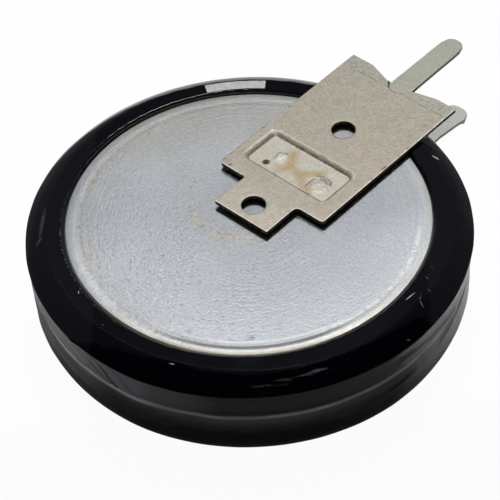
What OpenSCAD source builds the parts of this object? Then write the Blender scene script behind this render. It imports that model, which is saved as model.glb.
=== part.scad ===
// Coin supercapacitor: two cells stacked in series inside a heat-shrunk film,
// with a flat terminal welded to each face and two parallel pins.
// Frame: millimetres, origin on the coin's axis at the plane it lies on,
// +Z up the axis, +X along the pins.

/* [Cell] */
// Outer diameter of a cell's case
cell_d = 21.2; // [17:0.1:26]
// Height of one cell, from the foot of its case to the face of its lid
cell_h = 2.35; // [1.95:0.05:3]
// Thickness of the steel sheet of the case and the lid
shell_t = 0.25; // [0.2:0.01:0.3]
// Outer radius of the bend at the foot of the case
foot_r = 0.95; // [0.5:0.05:1]
// Outer radius of the bend where the case is crimped over
crimp_r = 0.9; // [0.5:0.05:1]
// Width of the crimp, from the outside of the case to its lip
crimp_w = 1.6; // [1.4:0.05:2]

/* [Lid] */
// Gap between the lip of the crimp and the lid
lid_gap = 0.22; // [0.15:0.01:0.4]
// Radius on the rolled edge of the lid's face
lid_roll = 0.2; // [0.1:0.01:0.24]
// Distance of the ring groove from the edge of the lid
groove_in = 0.58; // [0.5:0.01:0.9]
// Width of the ring groove at the lid's face
groove_w = 0.46; // [0.3:0.01:0.5]
// Depth of the ring groove
groove_depth = 0.1; // [0.05:0.01:0.15]

/* [Gasket] */
// Thickness of the gasket between the crimp and the lid's flange
gasket_t = 0.2; // [0.15:0.01:0.25]
// Thickness of the gasket between the case wall and the lid's flange
gasket_side = 0.35; // [0.25:0.01:0.5]
// Width of the gasket's foot, inward from the case wall
gasket_foot_w = 1.2; // [1:0.05:1.4]
// How far the gasket's neck stays below the face of the lid
gasket_neck_drop = 0.2; // [0.1:0.01:0.3]

/* [Inside a cell] */
// Thickness of a conductive collector layer
collector_t = 0.05; // [0.03:0.01:0.1]
// Thickness of the separator
separator_t = 0.1; // [0.05:0.01:0.15]
// Gap around an electrode, inside the skirt of the lid
electrode_gap = 0.5; // [0.3:0.05:0.8]
// Gap around the separator, inside the gasket
separator_gap = 0.25; // [0.1:0.05:0.5]

/* [Sleeve] */
// Thickness of the shrunk film
film_t = 0.15; // [0.1:0.01:0.18]
// How far the film's mouth reaches past the lip of the crimp
film_reach = 0.05; // [0:0.01:0.1]
// Depth of the groove that the film draws between the two cells
waist_depth = 0.25; // [0.1:0.01:0.3]
// Radius of the groove's section
waist_r = 0.9; // [0.8:0.05:1]

/* [Terminals] */
// Thickness of the terminal sheet
sheet_t = 0.2; // [0.15:0.01:0.25]
// Depth of the pressed panel, which is the gap between sheet and cell
panel_depth = 0.2; // [0.19:0.01:0.3]
// Width of the terminal plate
plate_w = 6.5; // [5.4:0.1:8]
// Radius on the plate's corners next to the tab
plate_corner = 0.25; // [0.1:0.01:0.4]
// Width of the tab at the plate's inner end
tab_w = 3.3; // [2.7:0.1:4]
// Length of the tab
tab_len = 2.15; // [1.8:0.05:2.6]
// How far the upper tab reaches past the coin's axis
tab_past = 0.5; // [0.3:0.05:1]
// How much further out the lower terminal is welded than the upper one
lower_shift = 0.5; // [0:0.05:0.8]
// Radius in the corners between tab and plate
notch_r = 0.2; // [0.1:0.01:0.3]
// Diameter of the two pilot holes
pilot_d = 1.2; // [0.8:0.1:1.5]
// Distance from the tab's end to its pilot hole
tab_pilot = 1; // [0.9:0.05:1.2]
// Distance from the plate's inner edge to its pilot hole
plate_pilot = 5.55; // [5:0.05:6]
// Distance from the plate's inner edge to the middle of the pressed panel
panel_mid = 2.15; // [1.9:0.05:2.6]
// Length of the panel's floor, along the pins
panel_len = 2.05; // [1.8:0.05:2.6]
// Width left between the panel and the plate's long edges
panel_margin = 0.5; // [0.3:0.05:0.7]
// Run of the panel's sloping walls
panel_slope = 0.27; // [0.2:0.01:0.4]
// Radius in the corners of the panel's floor
panel_corner = 0.18; // [0.1:0.01:0.3]
// How far the panel's foot reaches past its floor, all round
panel_foot = 0.06; // [0.02:0.01:0.1]

/* [Pins] */
// Distance between the middles of the two pins
pin_pitch = 5; // [4.5:0.01:5.5]
// Width of a pin
pin_w = 1.2; // [1:0.05:1.4]
// Length of a pin past the end of its plate
pin_len = 4.5; // [3:0.1:8]
// Length of the taper at the tip
taper_len = 0.8; // [0.6:0.05:1]
// Radius of the rounded tip
tip_r = 0.27; // [0.2:0.01:0.3]
// Radius of the round step where the pin is set down from the plate
step_r = 0.7; // [0.65:0.01:0.85]
// Width of the web around the step
web_t = 0.15; // [0.1:0.01:0.2]
// Clearance between the sleeve and the web
sleeve_clear = 0.1; // [0.05:0.01:0.3]
// How far the plate's corners reach past the middle of the step
corner_reach = 0.2; // [0.1:0.01:0.4]
// Depth of the scoops in the plate's end, beside the pin
scoop_depth = 0.35; // [0.2:0.01:0.4]
// Distance from the pin's middle line to the outer end of a scoop
scoop_out = 2.05; // [1.5:0.05:2.4]

/* [Hidden] */
$fn = 96;
eps = 0.01;

// Radii of the cell, from the outside inwards
cell_r = cell_d / 2;
case_in_r = cell_r - shell_t;
flange_r = case_in_r - gasket_side;
lip_r = cell_r - crimp_w;
lid_r = lip_r - lid_gap;
skirt_in_r = lid_r - shell_t;
gasket_foot_r = case_in_r - gasket_foot_w;
electrode_r = skirt_in_r - electrode_gap;
separator_r = gasket_foot_r - separator_gap;

// Heights in the cell, from the foot of its case
lid_under = cell_h - shell_t;
flange_top = lid_under - gasket_t;
flange_bottom = flange_top - shell_t;
electrode_t = (cell_h - 2 * shell_t - 2 * collector_t - separator_t) / 2;
case_electrode_z = shell_t + collector_t;
separator_z = case_electrode_z + electrode_t;
lid_electrode_z = separator_z + separator_t;
lid_collector_z = lid_electrode_z + electrode_t;

// Ring groove in the lid: an arc through both edges and the bottom
groove_arc_r = (pow(groove_w / 2, 2) + pow(groove_depth, 2)) / (2 * groove_depth);

// Heights in the stack
stand_h = sheet_t + panel_depth;
lower_z = stand_h;
upper_z = lower_z + cell_h;
stack_top = upper_z + cell_h;
middle_z = upper_z;

// Sleeve
sleeve_r = cell_r + film_t;
film_mouth_r = lip_r - film_reach;
waist_arc_x = sleeve_r + waist_r - waist_depth;
waist_reach = foot_r + crimp_r;

// Terminal, along the pins, from the coin's axis
plate_start = tab_len - tab_past;
step_x = sleeve_r + sleeve_clear + web_t + step_r;
plate_end = step_x + corner_reach;
pin_end = plate_end + pin_len;
panel_x = plate_start + panel_mid;
panel_floor_w = plate_w - 2 * (panel_margin + panel_slope);

// Terminal, above the face that it is welded to
plate_middle = panel_depth + sheet_t / 2;
pin_middle = (pin_pitch - 2 * cell_h) / 2;
pin_drop = plate_middle - pin_middle;
web_low = min(panel_depth, panel_depth - pin_drop);
web_high = max(stand_h, stand_h - pin_drop);
root_fillet = step_r - pin_w / 2;

// Half section of a disc with round outer corners, standing on z = 0
module disc_section(r, h, low_r, high_r) {
    square([r - max(low_r, high_r), h]);
    translate([0, low_r]) square([r, h - low_r - high_r]);
    square([r - low_r, h / 2]);
    translate([0, h / 2]) square([r - high_r, h / 2]);
    intersection() {
        translate([r - low_r, low_r]) circle(low_r);
        square([r, h / 2]);
    }
    intersection() {
        translate([r - high_r, h - high_r]) circle(high_r);
        translate([0, h / 2]) square([r, h / 2]);
    }
}

module cell_section() {
    disc_section(cell_r, cell_h, foot_r, crimp_r);
}

// The space inside the case, with the bends one sheet smaller
module cavity_section() {
    translate([0, shell_t])
        disc_section(case_in_r, cell_h - 2 * shell_t, foot_r - shell_t, crimp_r - shell_t);
}

// The lid in section: rolled face with a ring groove, skirt and flange
module lid_section() {
    difference() {
        union() {
            translate([0, lid_under]) square([lid_r - lid_roll, shell_t]);
            translate([skirt_in_r, flange_bottom])
                square([shell_t, cell_h - lid_roll - flange_bottom]);
            translate([skirt_in_r, flange_bottom]) square([flange_r - skirt_in_r, shell_t]);
            intersection() {
                translate([lid_r - lid_roll, cell_h - lid_roll]) circle(lid_roll);
                translate([lid_r - lid_roll, cell_h - lid_roll]) square(lid_roll);
            }
        }
        translate([lid_r - groove_in, cell_h + groove_arc_r - groove_depth]) circle(groove_arc_r);
    }
}

// What the crimped case leaves open around the lid's flange
module gasket_section() {
    difference() {
        union() {
            intersection() {
                cavity_section();
                translate([gasket_foot_r, 0]) square([gasket_foot_w, cell_h]);
            }
            intersection() {
                cavity_section();
                translate([lid_r, flange_top]) square([flange_r - lid_r, gasket_t]);
            }
            translate([lid_r, flange_top])
                square([lid_gap, cell_h - gasket_neck_drop - flange_top]);
        }
        translate([skirt_in_r, flange_bottom]) square([flange_r - skirt_in_r, shell_t]);
    }
}

module case() {
    color("silver")
    rotate_extrude()
    difference() {
        cell_section();
        cavity_section();
        translate([0, cell_h - shell_t - eps]) square([lip_r, shell_t + 2 * eps]);
    }
}

module lid() {
    color("gainsboro") rotate_extrude() lid_section();
}

module gasket() {
    color("dimgray") rotate_extrude() gasket_section();
}

module collector(z) {
    color("darkslategray") translate([0, 0, z]) cylinder(r = electrode_r, h = collector_t);
}

module electrode(z) {
    color("black") translate([0, 0, z]) cylinder(r = electrode_r, h = electrode_t);
}

module separator() {
    color("ivory") translate([0, 0, separator_z]) cylinder(r = separator_r, h = separator_t);
}

module at_lower_cell() {
    translate([0, 0, lower_z]) children();
}

module at_upper_cell() {
    translate([0, 0, upper_z]) children();
}

// Face down on the foot of the lower cell
module at_lower_foot() {
    translate([lower_shift, 0, lower_z]) mirror([0, 0, 1]) children();
}

// The film follows both cells, bridges the valley between them and
// laps over the crimp above and the foot below
module sleeve() {
    color("black")
    rotate_extrude()
    difference() {
        translate([0, lower_z - film_t])
            disc_section(sleeve_r, 2 * cell_h + 2 * film_t, foot_r + film_t, crimp_r + film_t);
        translate([0, lower_z]) cell_section();
        translate([0, upper_z]) cell_section();
        translate([waist_arc_x, middle_z]) circle(waist_r);
        difference() {
            translate([0, middle_z - crimp_r]) square([cell_r, waist_reach]);
            translate([waist_arc_x, middle_z]) circle(waist_r + film_t);
        }
        translate([0, lower_z - 2 * film_t]) square([film_mouth_r, 2 * cell_h + 4 * film_t]);
    }
}

// Outline of the plate and its tab, without the pin
module plate_outline() {
    difference() {
        union() {
            translate([plate_start + plate_corner, -plate_w / 2])
                square([plate_end - plate_start - plate_corner, plate_w]);
            translate([plate_start, plate_corner - plate_w / 2])
                square([2 * plate_corner, plate_w - 2 * plate_corner]);
            for (side = [-1, 1])
                translate([plate_start + plate_corner, side * (plate_w / 2 - plate_corner)])
                    circle(plate_corner);
            translate([-tab_past, -tab_w / 2]) square([tab_len + plate_corner, tab_w]);
            for (side = [-1, 1]) notch_fillet(side);
        }
        for (side = [-1, 1])
            polygon([
                [plate_end + eps, side * scoop_out],
                [plate_end - scoop_depth, side * (step_r - eps)],
                [plate_end + eps, side * (step_r - eps)]
            ]);
        step_outline(step_r, plate_end + eps);
        translate([tab_pilot - tab_past, 0]) circle(d = pilot_d);
        translate([plate_start + plate_pilot, 0]) circle(d = pilot_d);
    }
}

module notch_fillet(side) {
    difference() {
        translate([plate_start - notch_r, side * (tab_w / 2 + notch_r / 2) - notch_r / 2])
            square(notch_r);
        translate([plate_start - notch_r, side * (tab_w / 2 + notch_r)]) circle(notch_r);
    }
}

// A slot that is round on its inner end and runs out to x = far
module step_outline(r, far) {
    intersection() {
        translate([step_x, 0]) circle(r);
        translate([step_x - r, -r]) square([r, 2 * r]);
    }
    translate([step_x - eps, -r]) square([far - step_x + eps, 2 * r]);
}

// The pin in plan, from the round step to the tapered, rounded tip
module pin_outline() {
    step_outline(step_r + web_t, step_x + eps);
    translate([step_x, -pin_w / 2]) square([pin_end - taper_len - step_x, pin_w]);
    polygon([
        [pin_end - taper_len, -pin_w / 2], [pin_end - tip_r, -tip_r],
        [pin_end - tip_r, tip_r], [pin_end - taper_len, pin_w / 2]
    ]);
    translate([pin_end - tip_r, 0]) circle(tip_r);
    for (side = [-1, 1])
        difference() {
            translate([step_x, side * (pin_w / 2 + root_fillet / 2) - root_fillet / 2])
                square(root_fillet);
            translate([step_x + root_fillet, side * step_r]) circle(root_fillet);
        }
}

// A rectangle with round corners that widens upwards by panel_slope
module panel_dish(margin, low, high) {
    half_len = panel_len / 2 - panel_corner;
    half_w = panel_floor_w / 2 - panel_corner;
    translate([panel_x, 0, low])
    hull()
        for (sx = [-1, 1], sy = [-1, 1])
            translate([sx * half_len, sy * half_w, 0])
                cylinder(
                    r1 = panel_corner + margin,
                    r2 = panel_corner + margin + panel_slope * (high - low) / panel_depth,
                    h = high - low, $fn = 32
                );
}

// The terminal over a face at z = 0: a plate held off the face by its
// pressed panel, with the pin set down at the far end
module terminal() {
    color("tan")
    difference() {
        union() {
            translate([0, 0, panel_depth]) linear_extrude(sheet_t) plate_outline();
            translate([0, 0, panel_depth - pin_drop]) linear_extrude(sheet_t) pin_outline();
            translate([0, 0, web_low]) linear_extrude(web_high - web_low) web_outline();
            panel_dish(panel_foot, 0, panel_depth);
        }
        panel_dish(0, sheet_t, stand_h + eps);
    }
}

module web_outline() {
    difference() {
        step_outline(step_r + web_t, step_x);
        step_outline(step_r, step_x + web_t);
    }
}

sleeve();
at_upper_cell() case();  // upper_case
at_upper_cell() lid();  // upper_lid
at_upper_cell() gasket();  // upper_gasket
at_upper_cell() collector(shell_t);  // upper_case_collector
at_upper_cell() electrode(case_electrode_z);  // upper_case_electrode
at_upper_cell() separator();  // upper_separator
at_upper_cell() electrode(lid_electrode_z);  // upper_lid_electrode
at_upper_cell() collector(lid_collector_z);  // upper_lid_collector
at_lower_cell() case();  // lower_case
at_lower_cell() lid();  // lower_lid
at_lower_cell() gasket();  // lower_gasket
at_lower_cell() collector(shell_t);  // lower_case_collector
at_lower_cell() electrode(case_electrode_z);  // lower_case_electrode
at_lower_cell() separator();  // lower_separator
at_lower_cell() electrode(lid_electrode_z);  // lower_lid_electrode
at_lower_cell() collector(lid_collector_z);  // lower_lid_collector
translate([0, 0, stack_top]) terminal();  // upper_terminal
at_lower_foot() terminal();  // lower_terminal
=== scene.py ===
"""Looks of a coin supercapacitor around its CAD frame: shrink film, pressed lid and sheet terminals."""

import logging
import math
from dataclasses import dataclass
from enum import Enum
from typing import Any, Iterable, Sequence

import bmesh
import bpy
import numpy as np
from mathutils import Matrix, Vector
from mathutils.geometry import delaunay_2d_cdt


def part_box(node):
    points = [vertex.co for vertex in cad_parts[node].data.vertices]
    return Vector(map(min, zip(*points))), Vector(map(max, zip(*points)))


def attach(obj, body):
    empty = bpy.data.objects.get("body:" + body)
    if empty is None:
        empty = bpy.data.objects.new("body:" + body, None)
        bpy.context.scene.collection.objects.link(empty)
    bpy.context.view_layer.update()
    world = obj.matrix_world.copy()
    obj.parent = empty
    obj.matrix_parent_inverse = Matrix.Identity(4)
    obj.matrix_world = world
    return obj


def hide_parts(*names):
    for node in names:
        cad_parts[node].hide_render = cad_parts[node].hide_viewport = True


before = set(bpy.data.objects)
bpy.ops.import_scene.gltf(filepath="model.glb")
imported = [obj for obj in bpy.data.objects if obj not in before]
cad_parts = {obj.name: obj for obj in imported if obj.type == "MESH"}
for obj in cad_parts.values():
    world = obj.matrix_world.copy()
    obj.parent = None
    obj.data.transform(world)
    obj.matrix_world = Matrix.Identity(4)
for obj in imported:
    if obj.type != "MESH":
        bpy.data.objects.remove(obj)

Colour = tuple[float, float, float]
Point2 = tuple[float, float]
Mark = tuple[tuple[Point2, ...], float]
Face = tuple[int, ...]

LOG = logging.getLogger("supercapacitor")

# One millimetre in metres.
MM = 0.001
# Radius of the lid's face, in millimetres.
FACE_R = 8.775
# Directions of the coin's front and of its right-hand side as seen from there, as angles from +X.
FRONT = math.radians(-136.03)
RIGHT = FRONT + math.pi / 2
# How far the painted shadow of the upper plate on the lid is shifted from the plate towards the front, away
# from the lamps, in millimetres.
PLATE_SHADOW_SHIFT = 0.24
# Radius of the film's wall, in millimetres.
WALL_R = 10.75
# Middles of the two guide holes in a terminal, in millimetres.
PILOT_HOLES: tuple[Point2, ...] = ((0.48, 0.08), (7.24, 0.14))

BLACK: Colour = (0.0, 0.0, 0.0)
WHITE: Colour = (1.0, 1.0, 1.0)


class Side(Enum):
    """Which face of the coin a terminal is welded to."""

    UPPER = 1
    LOWER = -1


def shaded(colour: Colour, share: float) -> Colour:
    """Returns a colour made darker or lighter by a share."""
    return tuple(share * channel for channel in colour)


# ---------------------------------------------------------------- shader tools


class Wire:
    """A value socket of a shader tree that can be used in Python expressions."""

    def __init__(self, tree: "ShaderTree", socket: bpy.types.NodeSocket) -> None:
        """Keeps the socket and the tree that it belongs to.

        Args:
            tree: The tree that new Math nodes are added to.
            socket: The output socket that holds the value.
        """
        self.tree = tree
        self.socket = socket

    def __add__(self, other: Any) -> "Wire":
        """Returns the sum."""
        return self.tree.math("ADD", self, other)

    def __sub__(self, other: Any) -> "Wire":
        """Returns the difference."""
        return self.tree.math("SUBTRACT", self, other)

    def __rsub__(self, other: Any) -> "Wire":
        """Returns a number minus this value."""
        return self.tree.math("SUBTRACT", other, self)

    def __mul__(self, other: Any) -> "Wire":
        """Returns the product."""
        return self.tree.math("MULTIPLY", self, other)

    def __truediv__(self, other: Any) -> "Wire":
        """Returns the quotient."""
        return self.tree.math("DIVIDE", self, other)

    __radd__ = __add__
    __rmul__ = __mul__

    def at_least(self, low: Any) -> "Wire":
        """Returns the larger of this value and low."""
        return self.tree.math("MAXIMUM", self, low)

    def at_most(self, high: Any) -> "Wire":
        """Returns the smaller of this value and high."""
        return self.tree.math("MINIMUM", self, high)

    def size(self) -> "Wire":
        """Returns the absolute value."""
        return self.tree.math("ABSOLUTE", self)


@dataclass(frozen=True)
class CoinPoint:
    """Where a point of the coin lies, as values of a shader tree in millimetres and radians.

    The radius and turn are taken about the coin's axis; nearer counts towards the coin's front and
    aside towards its right.
    """

    tree: "ShaderTree"
    place: bpy.types.NodeSocket
    x: Wire
    y: Wire
    z: Wire
    radius: Wire
    turn: Wire
    nearer: Wire
    aside: Wire


class ShaderTree:
    """Builds the node tree of one material around a Principled shader."""

    def __init__(self, name: str) -> None:
        """Makes the material with its shader and output.

        Args:
            name: Name of the material.
        """
        self.material = bpy.data.materials.new(name)
        self.material.use_nodes = True
        self.nodes = self.material.node_tree.nodes
        self.links = self.material.node_tree.links
        self.nodes.clear()
        self.shader = self.nodes.new("ShaderNodeBsdfPrincipled")
        self.output = self.nodes.new("ShaderNodeOutputMaterial")
        self.links.new(self.shader.outputs[0], self.output.inputs["Surface"])

    def plug(self, target: bpy.types.NodeSocket, value: Any) -> None:
        """Links or sets one input socket.

        Args:
            target: The input socket.
            value: A Wire, a socket, a colour, a vector or a number.
        """
        if isinstance(value, Wire):
            self.links.new(value.socket, target)
        elif isinstance(value, bpy.types.NodeSocket):
            self.links.new(value, target)
        elif target.type == "RGBA" and len(value) == 3:
            target.default_value = (*value, 1.0)
        else:
            target.default_value = value

    def node(
        self, kind: str, settings: dict[str, Any] | None = None, sockets: dict[Any, Any] | None = None
    ) -> bpy.types.Node:
        """Adds one node, with its settings before its sockets.

        Args:
            kind: Node type without its ShaderNode prefix.
            settings: Properties of the node.
            sockets: Values or links of the input sockets, by name or number.

        Returns:
            The new node.
        """
        made = self.nodes.new("ShaderNode" + kind)
        for key, value in (settings or {}).items():
            setattr(made, key, value)
        for key, value in (sockets or {}).items():
            self.plug(made.inputs[key], value)
        return made

    def math(self, operation: str, *values: Any) -> Wire:
        """Adds a Math node.

        Args:
            operation: The node's operation.
            values: Its inputs, as wires or numbers.

        Returns:
            Its result.
        """
        made = self.node("Math", {"operation": operation}, dict(enumerate(values)))
        return Wire(self, made.outputs[0])

    def length(self, x: Wire, y: Wire) -> Wire:
        """Returns how far a point lies from the origin, by its two coordinates."""
        return self.math("SQRT", x * x + y * y)

    def mix(self, share: Any, low: Any, high: Any) -> bpy.types.NodeSocket:
        """Mixes two colours.

        Args:
            share: How much of the second colour shows.
            low: The first colour.
            high: The second colour.

        Returns:
            The mixed colour's socket.
        """
        made = self.node("Mix", {"data_type": "RGBA"}, {0: share, 6: low, 7: high})
        return made.outputs[2]

    def ease(self, value: Any, start: float, end: float) -> Wire:
        """Turns a value smoothly from 0 at start to 1 at end."""
        sockets = {0: value, 1: start, 2: end, 3: 0.0, 4: 1.0}
        return Wire(self, self.node("MapRange", {"interpolation_type": "SMOOTHSTEP"}, sockets).outputs[0])

    def near(self, value: Wire, middle: Any, reach: float) -> Wire:
        """Is 1 where a value is at the middle and falls to 0 at reach away from it."""
        return self.ease((value - middle).size(), reach, 0.0)

    def place(self) -> bpy.types.NodeSocket:
        """Gives the position on the piece in millimetres."""
        where = self.node("TexCoord").outputs["Object"]
        return self.node("VectorMath", {"operation": "SCALE"}, {0: where, "Scale": 1.0 / MM}).outputs[0]

    def axes(self, vector: bpy.types.NodeSocket) -> tuple[Wire, Wire, Wire]:
        """Splits a vector into its three values."""
        made = self.node("SeparateXYZ", None, {0: vector})
        return Wire(self, made.outputs[0]), Wire(self, made.outputs[1]), Wire(self, made.outputs[2])

    def coin_point(self) -> CoinPoint:
        """Works out where the shaded point lies on the coin.

        Returns:
            The point's place in the coordinates that the finishes are laid out by.
        """
        place = self.place()
        x, y, z = self.axes(place)
        return CoinPoint(
            tree=self,
            place=place,
            x=x,
            y=y,
            z=z,
            radius=self.length(x, y),
            turn=self.math("ARCTAN2", y, x),
            nearer=x * math.cos(FRONT) + y * math.sin(FRONT),
            aside=x * math.cos(RIGHT) + y * math.sin(RIGHT),
        )

    def join(self, x: Any, y: Any, z: Any) -> bpy.types.NodeSocket:
        """Joins three values into a vector."""
        return self.node("CombineXYZ", None, {0: x, 1: y, 2: z}).outputs[0]

    def noise(self, vector: Any, scale: float, detail: float = 2.0, rough: float = 0.5) -> Wire:
        """Adds a noise texture.

        Args:
            vector: Where it is read.
            scale: Its waves per millimetre.
            detail: Its number of octaves.
            rough: How strong the finer octaves are.

        Returns:
            The noise, around one half.
        """
        sockets = {"Vector": vector, "Scale": scale, "Detail": detail, "Roughness": rough}
        return Wire(self, self.node("TexNoise", None, sockets).outputs["Fac"])

    def specks(self, vector: Any, scale: float, reach: float) -> Wire:
        """Adds scattered round specks.

        Args:
            vector: Where they are read.
            scale: Their number per millimetre.
            reach: Their radius as a share of their spacing.

        Returns:
            1 in a speck and 0 outside.
        """
        made = self.node("TexVoronoi", {"feature": "F1"}, {"Vector": vector, "Scale": scale})
        return self.ease(Wire(self, made.outputs["Distance"]), reach, reach * 0.5)

    def painted(self, name: str) -> Wire:
        """Reads a value that the mesh carries at its corners."""
        made = self.node("Attribute", {"attribute_name": name, "attribute_type": "GEOMETRY"})
        return Wire(self, made.outputs["Fac"])

    def bump(self, height: Wire, depth: float, before: Any = None) -> bpy.types.NodeSocket:
        """Turns a height into a normal.

        Args:
            height: The height, from 0 to 1.
            depth: The height of 1 in millimetres.
            before: A normal that this one adds to.

        Returns:
            The normal's socket.
        """
        sockets: dict[Any, Any] = {"Height": height, "Distance": depth * MM, "Strength": 1.0}
        if before is not None:
            sockets["Normal"] = before
        return self.node("Bump", None, sockets).outputs[0]

    def finish(self, **sockets: Any) -> bpy.types.Material:
        """Sets the Principled shader's sockets.

        Args:
            sockets: Values or links, by socket name with _ for a space.

        Returns:
            The finished material.
        """
        for key, value in sockets.items():
            self.plug(self.shader.inputs[key.replace("_", " ")], value)
        return self.material


# -------------------------------------------------------------------- finishes


@dataclass
class Coat:
    """The colour of a material, laid on layer by layer."""

    tree: ShaderTree
    colour: Any

    def lay(self, share: Any, colour: Any) -> None:
        """Lays a colour over the coat; share says how much of it shows."""
        self.colour = self.tree.mix(share, self.colour, colour)


@dataclass(frozen=True)
class Fleck:
    """A small pale mark on the film, a scuffed spot or a painted glint, by its angle and radius on the coin,
    its size and its lean.
    """

    turn: float
    radius: float
    length: float
    width: float
    lean: float
    strength: float = 1.0

    def mask(self, at: CoinPoint) -> Wire:
        """Masks the mark.

        Args:
            at: Where the shaded point lies.

        Returns:
            The mark's strength at the point.
        """
        turn = math.radians(self.turn)
        lean = turn + math.pi / 2 + math.radians(self.lean)
        dx = at.x - self.radius * math.cos(turn)
        dy = at.y - self.radius * math.sin(turn)
        along = (dx * math.cos(lean) + dy * math.sin(lean)) / (self.length / 2)
        across = (dy * math.cos(lean) - dx * math.sin(lean)) / (self.width / 2)
        return at.tree.ease(along * along + across * across, 1.3, 0.1) * self.strength


@dataclass(frozen=True)
class PolarityBar:
    """The plain printed bar that marks one terminal's side, as angles and radii."""

    start: float = 36.4
    end: float = 55.0
    inner: float = 9.05
    outer: float = 9.62
    blur_r: float = 0.012
    blur_turn: float = 0.1

    def mask(self, tree: ShaderTree, radius: Wire, degrees: Wire) -> Wire:
        """Masks the bar.

        Args:
            tree: The material's tree.
            radius: The point's distance from the coin's axis.
            degrees: Its angle round the axis.

        Returns:
            1 inside the bar and 0 outside it.
        """
        return (
            tree.ease(radius, self.inner - self.blur_r, self.inner + self.blur_r)
            * tree.ease(radius, self.outer + self.blur_r, self.outer - self.blur_r)
            * tree.ease(degrees, self.start - self.blur_turn, self.start + self.blur_turn)
            * tree.ease(degrees, self.end + self.blur_turn, self.end - self.blur_turn)
        )


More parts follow.
